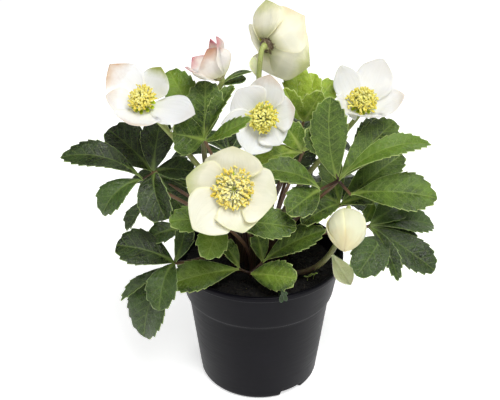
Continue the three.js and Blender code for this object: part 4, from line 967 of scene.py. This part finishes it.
def make_crumbs(materials, rng):
    """Crumbs of peat, balls of four rings of six points that are shaken and squashed, and
    fibres, short bent tubes. Both lie on the soil, spread evenly over its disc."""
    out = Surfaces()
    top, edge, count = SOIL["top"], float(soil_wall(SOIL["top"])), SOIL["crumbs"]
    reach = edge * np.sqrt(rng.random(count)) * 0.99
    turn = rng.uniform(0, 2 * np.pi, count)
    x, y = reach * np.cos(turn), reach * np.sin(turn)
    size = rng.lognormal(-0.35, 0.45, count).clip(*SOIL["crumb_size"])
    spot = np.stack([x, y, top + soil_level(x, y) + 0.25 * size], -1)
    heights = vec([-0.8, -0.3, 0.35, 0.85])
    angle = 2 * np.pi * np.arange(6) / 6
    girth = np.sqrt(1 - heights**2)
    ball = [np.outer(girth, np.cos(angle)), np.outer(girth, np.sin(angle)), np.outer(heights, np.ones(6))]
    ball = np.stack(ball, -1)
    jitter = rng.uniform(0.65, 1.3, (count, *ball.shape[:2], 1))
    squash = np.stack([rng.uniform(*span, count) for span in ((0.7, 1.5), (0.7, 1.3), (0.5, 0.9))], -1)
    lumps = ball * jitter * (squash * size[:, None])[:, None, None]
    shade = np.stack([rng.random(count), np.ones(count), np.zeros(count)], -1)
    add_rounds(out, spot[:, None, None] + lumps, shade[:, None, None])
    count = SOIL["fibres"]
    reach = 0.93 * edge * np.sqrt(rng.random(count))
    turn, heading = rng.uniform(0, 2 * np.pi, (2, count))
    run = np.linspace(-0.5, 0.5, 6) * rng.uniform(*SOIL["fibre_length"], (count, 1))
    bend = heading[:, None] + 0.08 * run * rng.normal(0, 1, (count, 1))
    x = (reach * np.cos(turn))[:, None] + run * np.cos(bend)
    y = (reach * np.sin(turn))[:, None] + run * np.sin(bend)
    shrink = np.minimum(1, 0.96 * edge / np.maximum(np.hypot(x, y), 1e-3))
    x, y = x * shrink, y * shrink
    add_tubes(out, np.stack([x, y, top + soil_level(x, y) + 0.35], -1), SOIL["fibre"], 4, (0.5, 1, 1))
    make_piece("soil_crumbs", out, materials["potting_mix"], "potting_mix", "potting_soil")


def make_seedlings(materials, rng):
    """Weed seedlings on the soil, a pair of seed leaves each on a short stalk, and the
    wisp of weed, three leaflets at the end of a Bezier curve."""
    out = Surfaces()
    for x, y, size in SEEDLINGS:
        root = vec([x, y, SOIL["top"]])
        crown = root + vec([0.6, -0.4, 4.5]) * size
        stalk = root - UP + (crown - root + UP) * np.linspace(0, 1, 5)[:, None]
        add_tubes(out, [stalk], 0.28, 6, (0.5, 0, 0))
        for turn in (20, 200):
            reach = vec([math.cos(math.radians(turn)), math.sin(math.radians(turn)), 0.35]) * 4.2 * size
            add_leaflet(out, rng, crown, crown + reach, 2.8 * size, arch=0.5, fold=6, face=UP, teeth=0)
    make_piece("seedlings", out, materials["leaf_mid"], "leaf_mid")
    wisp = Surfaces()
    bend, _ = bezier(WISP["stalk"], np.linspace(0, 1, 10))
    add_tubes(wisp, [bend], 0.4, 6, (0.5, 0, 0))
    for tip, width in WISP["leaflets"]:
        add_leaflet(wisp, rng, bend[-1], tip, width, arch=0.7, fold=8, face=(0, -1, 0.6), teeth=0)
    make_piece("weed_wisp", wisp, materials["weed_leaf"], "leaf_dark")


# ----------------------------------------------------------------------- materials


def linear(code):
    """A hex sRGB colour as linear RGBA."""
    parts = [int(code[i:i + 2], 16) / 255 for i in (1, 3, 5)]
    return [p / 12.92 if p <= 0.04045 else ((p + 0.055) / 1.055) ** 2.4 for p in parts] + [1]


def per(size):
    """The scale of a pattern whose features are about size millimetres wide."""
    return 1 / (size * MM)


def shown(sockets):
    """The sockets in use, since a node with several modes hides those of the others."""
    return [socket for socket in sockets if socket.enabled]


def put(tree, kind, inputs=(), **settings):
    """Adds a node with its settings and inputs, which go by name, or in the order of the
    sockets that it shows. An input is a number, a hex colour, a socket or a node, which
    stands for the first socket that it puts out."""
    node = tree.nodes.new("ShaderNode" + kind)
    for name, value in settings.items():
        setattr(node, name, value)
    sockets = shown(node.inputs)
    if isinstance(inputs, dict):
        sockets, inputs = [node.inputs[name] for name in inputs], inputs.values()
    for socket, value in zip(sockets, inputs):
        if isinstance(value, bpy.types.Node):
            value = shown(value.outputs)[0]
        if isinstance(value, bpy.types.NodeSocket):
            tree.links.new(value, socket)
        else:
            socket.default_value = linear(value) if isinstance(value, str) else value
    return node


def blank(name):
    """A new material and its node tree, which is empty."""
    material = bpy.data.materials.new(name)
    material.use_nodes = True
    material.node_tree.nodes.clear()
    return material, material.node_tree


def finish(tree, **inputs):
    """The shader and the output; an input is named as its socket, with _ for a space."""
    named = {key.replace("_", " "): value for key, value in inputs.items()}
    shader = put(tree, "BsdfPrincipled", named)
    put(tree, "OutputMaterial", {"Surface": shader})


def leaf_material(name, deep, bright, young, vein, rim, under, gloss):
    """Hellebore leaf: leathery, with a waxy skin that gives soft, broad highlights.

    Clouds of 16 mm and mottles of 3.5 mm turn the deep green bright, and the middle of
    a young leaflet glows. The midrib and the side veins are paler lines. The side veins
    run VEIN pitch apart, with a net of cells of 1.7 mm between them. The very edge is
    pale, flecks of under a millimetre lie on the skin, and the underside is matt.
    """
    material, tree = blank(name)
    blade, place, tint = (
        put(tree, "SeparateXYZ", [put(tree, "Attribute", attribute_name=value).outputs["Vector"]]).outputs
        for value in Surfaces.values
    )
    where = put(tree, "TexCoord").outputs["Object"]
    cloud = put(tree, "TexNoise", {"Vector": where, "Scale": per(16), "Detail": 3.0})
    mottle = put(tree, "TexNoise", {"Vector": where, "Scale": per(3.5), "Detail": 3.0})
    fine = put(tree, "TexNoise", {"Vector": where, "Scale": per(0.9), "Detail": 2.0})
    across = put(tree, "Math", [blade[0]], operation="ABSOLUTE")
    slanted = put(tree, "Math", [across, -VEIN["slant"], blade[1]], operation="MULTIPLY_ADD")
    square = put(tree, "Math", [across, across], operation="MULTIPLY")
    bent = put(tree, "Math", [square, -VEIN["bend"], slanted], operation="MULTIPLY_ADD")
    wavy = put(tree, "Math", [cloud, 2.4, bent], operation="MULTIPLY_ADD")
    count = put(tree, "Math", [wavy, VEIN["pitch"]], operation="DIVIDE")
    fold = put(tree, "Math", [count, 0.5], operation="PINGPONG")
    side_vein = put(tree, "MapRange", [fold, 0.015, 0.11, 1.0, 0.0])
    girth = put(tree, "MapRange", [blade[1], 0.0, 18.0, 2.1, 0.5])
    beside = put(tree, "Math", [across, girth], operation="DIVIDE")
    midrib = put(tree, "MapRange", [beside, 0.4, 1.7, 1.0, 0.0])
    cells = put(tree, "TexVoronoi", {"Vector": where, "Scale": per(1.7)}, feature="DISTANCE_TO_EDGE")
    net = put(tree, "MapRange", [cells, 0.0, 0.12, 1.0, 0.0])
    depth = put(tree, "Math", [cloud, 1.9, -1.3], operation="MULTIPLY_ADD")
    depth = put(tree, "Math", [mottle, 1.1, depth], operation="MULTIPLY_ADD")
    # tint x, the leaflet's shade, lightens the green; on two leaflets this is painted light and painted
    # highlight.
    depth = put(tree, "Math", [tint[0], 0.6, depth], operation="MULTIPLY_ADD", use_clamp=True)
    inner = put(tree, "Math", [place[0], place[0], 0.02], operation="MULTIPLY_ADD")
    middle = put(tree, "MapRange", [inner, 0.0, 0.6, 0.55, 0.0])
    glow = put(tree, "Math", [middle, tint[1]], operation="MULTIPLY")
    faint = put(tree, "Math", [net, 0.16], operation="MULTIPLY")
    flecks = put(tree, "MapRange", [fine, 0.6, 0.72, 0.0, 0.5])
    drawn = put(tree, "MapRange", [inner, 0.05, 0.7, 0.3, 0.06])
    drawn = put(tree, "Math", [side_vein, drawn], operation="MULTIPLY")
    pale = put(tree, "MapRange", [blade[1], 2.0, 24.0, 0.66, 0.36])
    strong = put(tree, "Math", [midrib, pale], operation="MULTIPLY")
    lines = faint
    for other in (drawn, strong, flecks):
        lines = put(tree, "Math", [lines, other], operation="MAXIMUM")
    edge = put(tree, "MapRange", [blade[2], 0.15, 0.65, 0.75, 0.0])
    below = put(tree, "Math", [place[2], 0.62], operation="MULTIPLY")
    colour = deep
    for share, tone in ((depth, bright), (glow, young), (lines, vein), (edge, rim), (below, under)):
        colour = put(tree, "Mix", [share, colour, tone], data_type="RGBA")
    dull = put(tree, "MapRange", [cloud, 0.3, 0.7, gloss - 0.06, gloss + 0.1])
    matt = put(tree, "Math", [place[2], 0.25, dull], operation="MULTIPLY_ADD")
    puffed = put(tree, "Math", [mottle, 2.0, fine], operation="MULTIPLY_ADD")
    relief = put(tree, "Math", [lines, -0.7, puffed], operation="MULTIPLY_ADD")
    bump = put(tree, "Bump", {"Strength": 0.85, "Distance": 0.6 * MM, "Height": relief})
    finish(
        tree, Base_Color=colour, Roughness=matt, Normal=bump, IOR=1.45, Specular_IOR_Level=0.42,
        Subsurface_Weight=0.12, Subsurface_Radius=(0.3, 1.0, 0.15), Subsurface_Scale=1.2 * MM,
    )
    return material


def stalk_material(name, low, high, speckle, amount):
    """Fleshy stalk: satin skin, darker where it leaves the soil, partly its own brown and
    partly painted shade for the dim middle of the plant, speckled with dots of about a
    millimetre that stand out a little."""
    material, tree = blank(name)
    place = put(tree, "Attribute", attribute_name="place").outputs["Vector"]
    place = put(tree, "SeparateXYZ", [place]).outputs
    where = put(tree, "TexCoord").outputs["Object"]
    cloud = put(tree, "TexNoise", {"Vector": where, "Scale": per(9), "Detail": 2.0})
    dots = put(tree, "TexNoise", {"Vector": where, "Scale": per(0.9), "Detail": 1.0})
    # The low colour covers the lower part of each stalk: partly its own brown, partly painted shade.
    climb = put(tree, "Math", [cloud, 0.5, place[1]], operation="MULTIPLY_ADD")
    share = put(tree, "MapRange", [climb, 0.5, 1.05, 0.0, 1.0])
    body = put(tree, "Mix", [share, low, high], data_type="RGBA")
    spots = put(tree, "MapRange", [dots, 0.56, 0.66, 0.0, amount])
    colour = put(tree, "Mix", [spots, body, speckle], data_type="RGBA")
    bump = put(tree, "Bump", {"Strength": 0.3, "Distance": 0.2 * MM, "Height": dots})
    finish(
        tree, Base_Color=colour, Roughness=0.42, Normal=bump, IOR=1.45,
        Subsurface_Weight=0.15, Subsurface_Radius=(0.5, 1.0, 0.2), Subsurface_Scale=1.5 * MM,
    )
    return material


def sepal_material(name, body, heart, blush, leaf_green, outside, scar="#8f8a52"):
    """Waxy sepal: thin living tissue that lets light through, with hair-fine veins that
    fan out from the base; yellow-green at the heart, flushed or green at the tip, and
    scarred where it joins the stem, which shows on the outside only."""
    material, tree = blank(name)
    blade, place, tint = (
        put(tree, "SeparateXYZ", [put(tree, "Attribute", attribute_name=value).outputs["Vector"]]).outputs
        for value in Surfaces.values
    )
    where = put(tree, "TexCoord").outputs["Object"]
    cloud = put(tree, "TexNoise", {"Vector": where, "Scale": per(12), "Detail": 3.0})
    fan = put(tree, "CombineXYZ", [place[0], place[1], tint[2]])
    stretch = put(tree, "Mapping", {"Vector": fan, "Scale": (9, 0.9, 20)})
    veins = put(tree, "TexNoise", {"Vector": stretch, "Scale": 1.6, "Detail": 4.0, "Distortion": 0.3})
    vein = put(tree, "MapRange", [veins, 0.42, 0.62, 0.0, 1.0])
    near = put(tree, "MapRange", [blade[1], 0.5, 10.0, 0.85, 0.0])
    behind = put(tree, "Math", [place[2], 0.75, 0.3], operation="MULTIPLY_ADD")
    green = put(tree, "Math", [near, behind], operation="MULTIPLY")
    reach = put(tree, "Math", [cloud, 0.5, place[1]], operation="MULTIPLY_ADD")
    tip = put(tree, "MapRange", [reach, 0.86, 1.16, 0.06, 0.95])
    flush = put(tree, "Math", [tip, tint[0]], operation="MULTIPLY")
    leafy = put(tree, "Math", [tip, tint[1]], operation="MULTIPLY")
    back = put(tree, "Math", [place[2], 0.5], operation="MULTIPLY")
    rim = put(tree, "MapRange", [blade[2], 0.2, 1.6, 0.5, 0.0])
    hem = put(tree, "Mix", [leafy, outside, leaf_green], data_type="RGBA")
    hem = put(tree, "Mix", [flush, hem, blush], data_type="RGBA")
    lines = put(tree, "Math", [vein, 0.04], operation="MULTIPLY")
    spots = put(tree, "TexNoise", {"Vector": where, "Scale": per(2.2), "Detail": 3.0})
    joint = put(tree, "MapRange", [blade[1], 0.5, 4.5, 0.3, -0.2])
    joint = put(tree, "Math", [spots, joint], operation="ADD")
    joint = put(tree, "MapRange", [joint, 0.62, 0.8, 0.0, 0.9])
    torn = put(tree, "Math", [joint, place[2]], operation="MULTIPLY")
    layers = (
        (back, outside), (green, heart), (flush, blush), (leafy, leaf_green), (rim, hem), (lines, leaf_green),
        (torn, scar),
    )
    colour = body
    for share, tone in layers:
        colour = put(tree, "Mix", [share, colour, tone], data_type="RGBA")
    bump = put(tree, "Bump", {"Strength": 0.6, "Distance": 0.5 * MM, "Height": veins})
    finish(
        tree, Base_Color=colour, Roughness=0.46, Normal=bump, IOR=1.4,
        Subsurface_Weight=0.6, Subsurface_Radius=(1.0, 0.9, 0.7), Subsurface_Scale=3 * MM,
    )
    return material


def stamen_material():
    """Pale filaments and dusty yellow anthers; the styles are greener."""
    material, tree = blank("pollen_and_filament")
    tint = put(tree, "SeparateXYZ", [put(tree, "Attribute", attribute_name="tint").outputs["Vector"]]).outputs
    where = put(tree, "TexCoord").outputs["Object"]
    grain = put(tree, "TexNoise", {"Vector": where, "Scale": per(0.5), "Detail": 2.0})
    yellow = put(tree, "Mix", [tint[0], "#ecd456", "#fcf6ae"], data_type="RGBA")
    share = put(tree, "Math", [tint[2], 0.6], operation="MULTIPLY")
    pollen = put(tree, "Mix", [share, yellow, "#dde055"], data_type="RGBA")
    stalk = put(tree, "Mix", [tint[2], "#f6f5d6", "#dce083"], data_type="RGBA")
    colour = put(tree, "Mix", [tint[1], stalk, pollen], data_type="RGBA")
    bump = put(tree, "Bump", {"Strength": 0.6, "Distance": 0.2 * MM, "Height": grain})
    finish(
        tree, Base_Color=colour, Roughness=0.72, Normal=bump, IOR=1.4,
        Subsurface_Weight=0.25, Subsurface_Radius=(1.0, 0.9, 0.3), Subsurface_Scale=0.8 * MM,
    )
    return material


def nectary_material():
    """Fleshy green-yellow trumpets, deeper green inside the mouth."""
    material, tree = blank("nectary_flesh")
    place = put(tree, "Attribute", attribute_name="place").outputs["Vector"]
    place = put(tree, "SeparateXYZ", [place]).outputs
    ramp = put(tree, "MapRange", [place[1], 0.3, 0.9, 0.0, 1.0])
    colour = put(tree, "Mix", [ramp, "#e0e854", "#b9cb34"], data_type="RGBA")
    finish(
        tree, Base_Color=colour, Roughness=0.35, IOR=1.45,
        Subsurface_Weight=0.2, Subsurface_Radius=(0.8, 1.0, 0.3), Subsurface_Scale=1 * MM,
    )
    return material


def pot_material():
    """Thin black polypropylene, injection moulded: satin, with fine scuffs and dust."""
    material, tree = blank("moulded_black_polypropylene")
    where = put(tree, "TexCoord").outputs["Object"]
    cloud = put(tree, "TexNoise", {"Vector": where, "Scale": per(30), "Detail": 4.0})
    ring = put(tree, "Mapping", {"Vector": where, "Scale": (60, 60, 1400)})
    scuff = put(tree, "TexNoise", {"Vector": ring, "Scale": 1.0, "Detail": 3.0})
    dust = put(tree, "MapRange", [cloud, 0.45, 0.8, 0.0, 0.25])
    colour = put(tree, "Mix", [dust, "#06050c", "#100f1a"], data_type="RGBA")
    dull = put(tree, "MapRange", [scuff, 0.3, 0.7, 0.36, 0.5])
    bump = put(tree, "Bump", {"Strength": 0.12, "Distance": 0.3 * MM, "Height": scuff})
    finish(tree, Base_Color=colour, Roughness=dull, Normal=bump, IOR=1.49, Specular_IOR_Level=0.11)
    return material


def peat_material():
    """Moist peat: dark, matt crumbs of a millimetre or so, with browner ones among them. It is
    drawn darker than the peat's own brown-black, as painted shade under the leaves.
    """
    material, tree = blank("moist_peat")
    tint = put(tree, "SeparateXYZ", [put(tree, "Attribute", attribute_name="tint").outputs["Vector"]]).outputs
    where = put(tree, "TexCoord").outputs["Object"]
    crumb = put(tree, "TexNoise", {"Vector": where, "Scale": per(2.2), "Detail": 5.0})
    patch = put(tree, "TexNoise", {"Vector": where, "Scale": per(12), "Detail": 2.0})
    mixed = put(tree, "Math", [patch, crumb], operation="MULTIPLY")
    share = put(tree, "Math", [tint[0], 0.35, mixed], operation="MULTIPLY_ADD")
    # The body runs down to near black: partly the peat's own colour, partly painted shade under the leaves.
    body = put(tree, "Mix", [share, "#0a0a0b", "#1e1916"], data_type="RGBA")
    colour = put(tree, "Mix", [tint[2], body, "#30271f"], data_type="RGBA")
    bump = put(tree, "Bump", {"Strength": 0.8, "Distance": 0.8 * MM, "Height": crumb})
    finish(tree, Base_Color=colour, Roughness=0.93, Normal=bump, IOR=1.4)
    return material


def make_materials():
    """Every material, by the name that the pieces ask for it by."""
    white = dict(heart="#e3e8a6", blush="#b98760", leaf_green="#87942c", outside="#f6f4e6")
    cream = dict(blush="#dba77c", leaf_green="#8a9c3a")
    return {
        "leaf_dark": leaf_material(
            "dark_leaf", "#111d0c", "#3d5425", "#66822a", "#80974a", "#a6ba74", "#6a7b49", 0.27),
        "leaf_mid": leaf_material(
            "green_leaf", "#1c310a", "#5d7a25", "#8aa52f", "#9fb557", "#bfcf80", "#7c8e50", 0.29),
        "leaf_fresh": leaf_material(
            "young_leaf", "#527219", "#a5bd3c", "#bed04a", "#c4d378", "#d3de92", "#a2b559", 0.34),
        # The weed's leaves are dark grey-green, drawn darker still: painted shade for the wisp that lies dim
        # at the rim.
        "weed_leaf": leaf_material(
            "weed_leaf", "#141d0e", "#2c3c1e", "#3a4c28", "#35472a", "#435638", "#3d4d30", 0.4),
        # The bracts are a pale yellow-green, drawn paler still: painted light for bracts that sit in the
        # shade of the bud and the leaves.
        "bract": leaf_material(
            "bract", "#e2e8ac", "#f1f4ca", "#f1f5d0", "#f2f6d6", "#f6f8e0", "#eef2ca", 0.42),
        # The low colours of the stalks are partly their own brown and partly painted shade for the dim middle
        # of the plant.
        "leaf_stalk": stalk_material("leaf_stalk", "#3c2a22", "#6d5238", "#4a2620", 0.5),
        "flower_stem": stalk_material("flower_stem", "#443a2a", "#a9b56a", "#7c4a3c", 0.35),
        "sepal_white": sepal_material("white_sepal", "#fcfbf8", **white),
        "sepal_cream": sepal_material("cream_sepal", "#f3eed4", heart="#cdd98a", outside="#e6e39c", **cream),
        "sepal_back": sepal_material(
            "cream_sepal_outside", "#fffbe6", heart="#6c7634", outside="#fef7c4", scar="#4b3226", **cream),
        "sepal_blush": sepal_material("flushed_sepal", "#fdf8ee", "#dfe0a4", "#b54668", "#9a9446", "#faeedd"),
        "sepal_bud": sepal_material("bud_sepal", "#fefac8", "#dfe694", "#e6ad84", "#dfe587", "#fdf8ba"),
        "stamen": stamen_material(),
        "nectary": nectary_material(),
        "pot_plastic": pot_material(),
        "potting_mix": peat_material(),
    }


# --------------------------------------------------------------------------- stage


def make_floor():
    """A plain pale floor, far wider than the view."""
    mesh = bpy.data.meshes.new("floor")
    corners = vec([(-1, -1, 0), (1, -1, 0), (1, 1, 0), (-1, 1, 0)]) * STAGE["floor"]
    mesh.from_pydata(corners.tolist(), [], [(0, 1, 2, 3)])
    floor = new_object("floor", mesh)
    material, tree = blank("pale_floor")
    finish(tree, Base_Color="#f6f6f6", Roughness=0.8, Emission_Color="#ffffff", Emission_Strength=0.6)
    floor.data.materials.append(material)


def make_light(name, place, size, power):
    """A square soft box that looks at the aim, with its upper edge level."""
    light = bpy.data.lights.new(name, "AREA")
    light.size = size
    light.energy = power
    lamp = new_object(name, light)
    place = vec(place)
    back = unit(place - vec(STAGE["aim"]))
    side = unit(np.cross(UP, back))
    basis = np.eye(4)
    basis[:3, 0], basis[:3, 1], basis[:3, 2] = side, np.cross(back, side), back
    basis[:3, 3] = place
    lamp.matrix_world = basis.T.tolist()


def make_stage():
    """The floor, the soft boxes and a faint white light from all round."""
    make_floor()
    for name, rule in LIGHTS.items():
        make_light(name, *rule)
    world = bpy.data.worlds.new("studio")
    world.use_nodes = True
    background = world.node_tree.nodes["Background"]
    background.inputs["Color"].default_value = linear("#ffffff")
    background.inputs["Strength"].default_value = STAGE["world"]
    bpy.context.scene.world = world
    bpy.context.scene.view_settings.view_transform = "Standard"


def make_camera():
    """A camera that looks along +Y and down by its pitch."""
    camera = new_object("camera", bpy.data.cameras.new("camera"))
    camera.data.lens = CAMERA["lens"]
    camera.data.sensor_width = CAMERA["sensor"]
    camera.location = vec(CAMERA["place"]) * MM
    camera.rotation_euler = (math.radians(90 - CAMERA["pitch"]), 0, 0)
    bpy.context.scene.camera = camera


# ------------------------------------------------------------------------ assembly

make_camera()
make_stage()
materials = make_materials()
rng = np.random.default_rng(5)
for name, (slot, foot, hub, leaflets) in LEAVES.items():
    make_leaf(name, slot, foot, hub, leaflets, materials, rng)
fan_random = seeded(FAN["seed"])
for name, rule in BACK_LEAVES.items():
    foot, hub, leaflets = fan_leaflets(*rule, fan_random)
    make_leaf(name, "leaf_dark", foot, hub, leaflets, materials, rng)
for name, bloom in BLOOMS.items():
    make_bloom(name, bloom, materials, rng)
make_bud(materials, rng)
make_pot(materials)
make_soil_bed(materials)
make_crumbs(materials, rng)
make_seedlings(materials, rng)
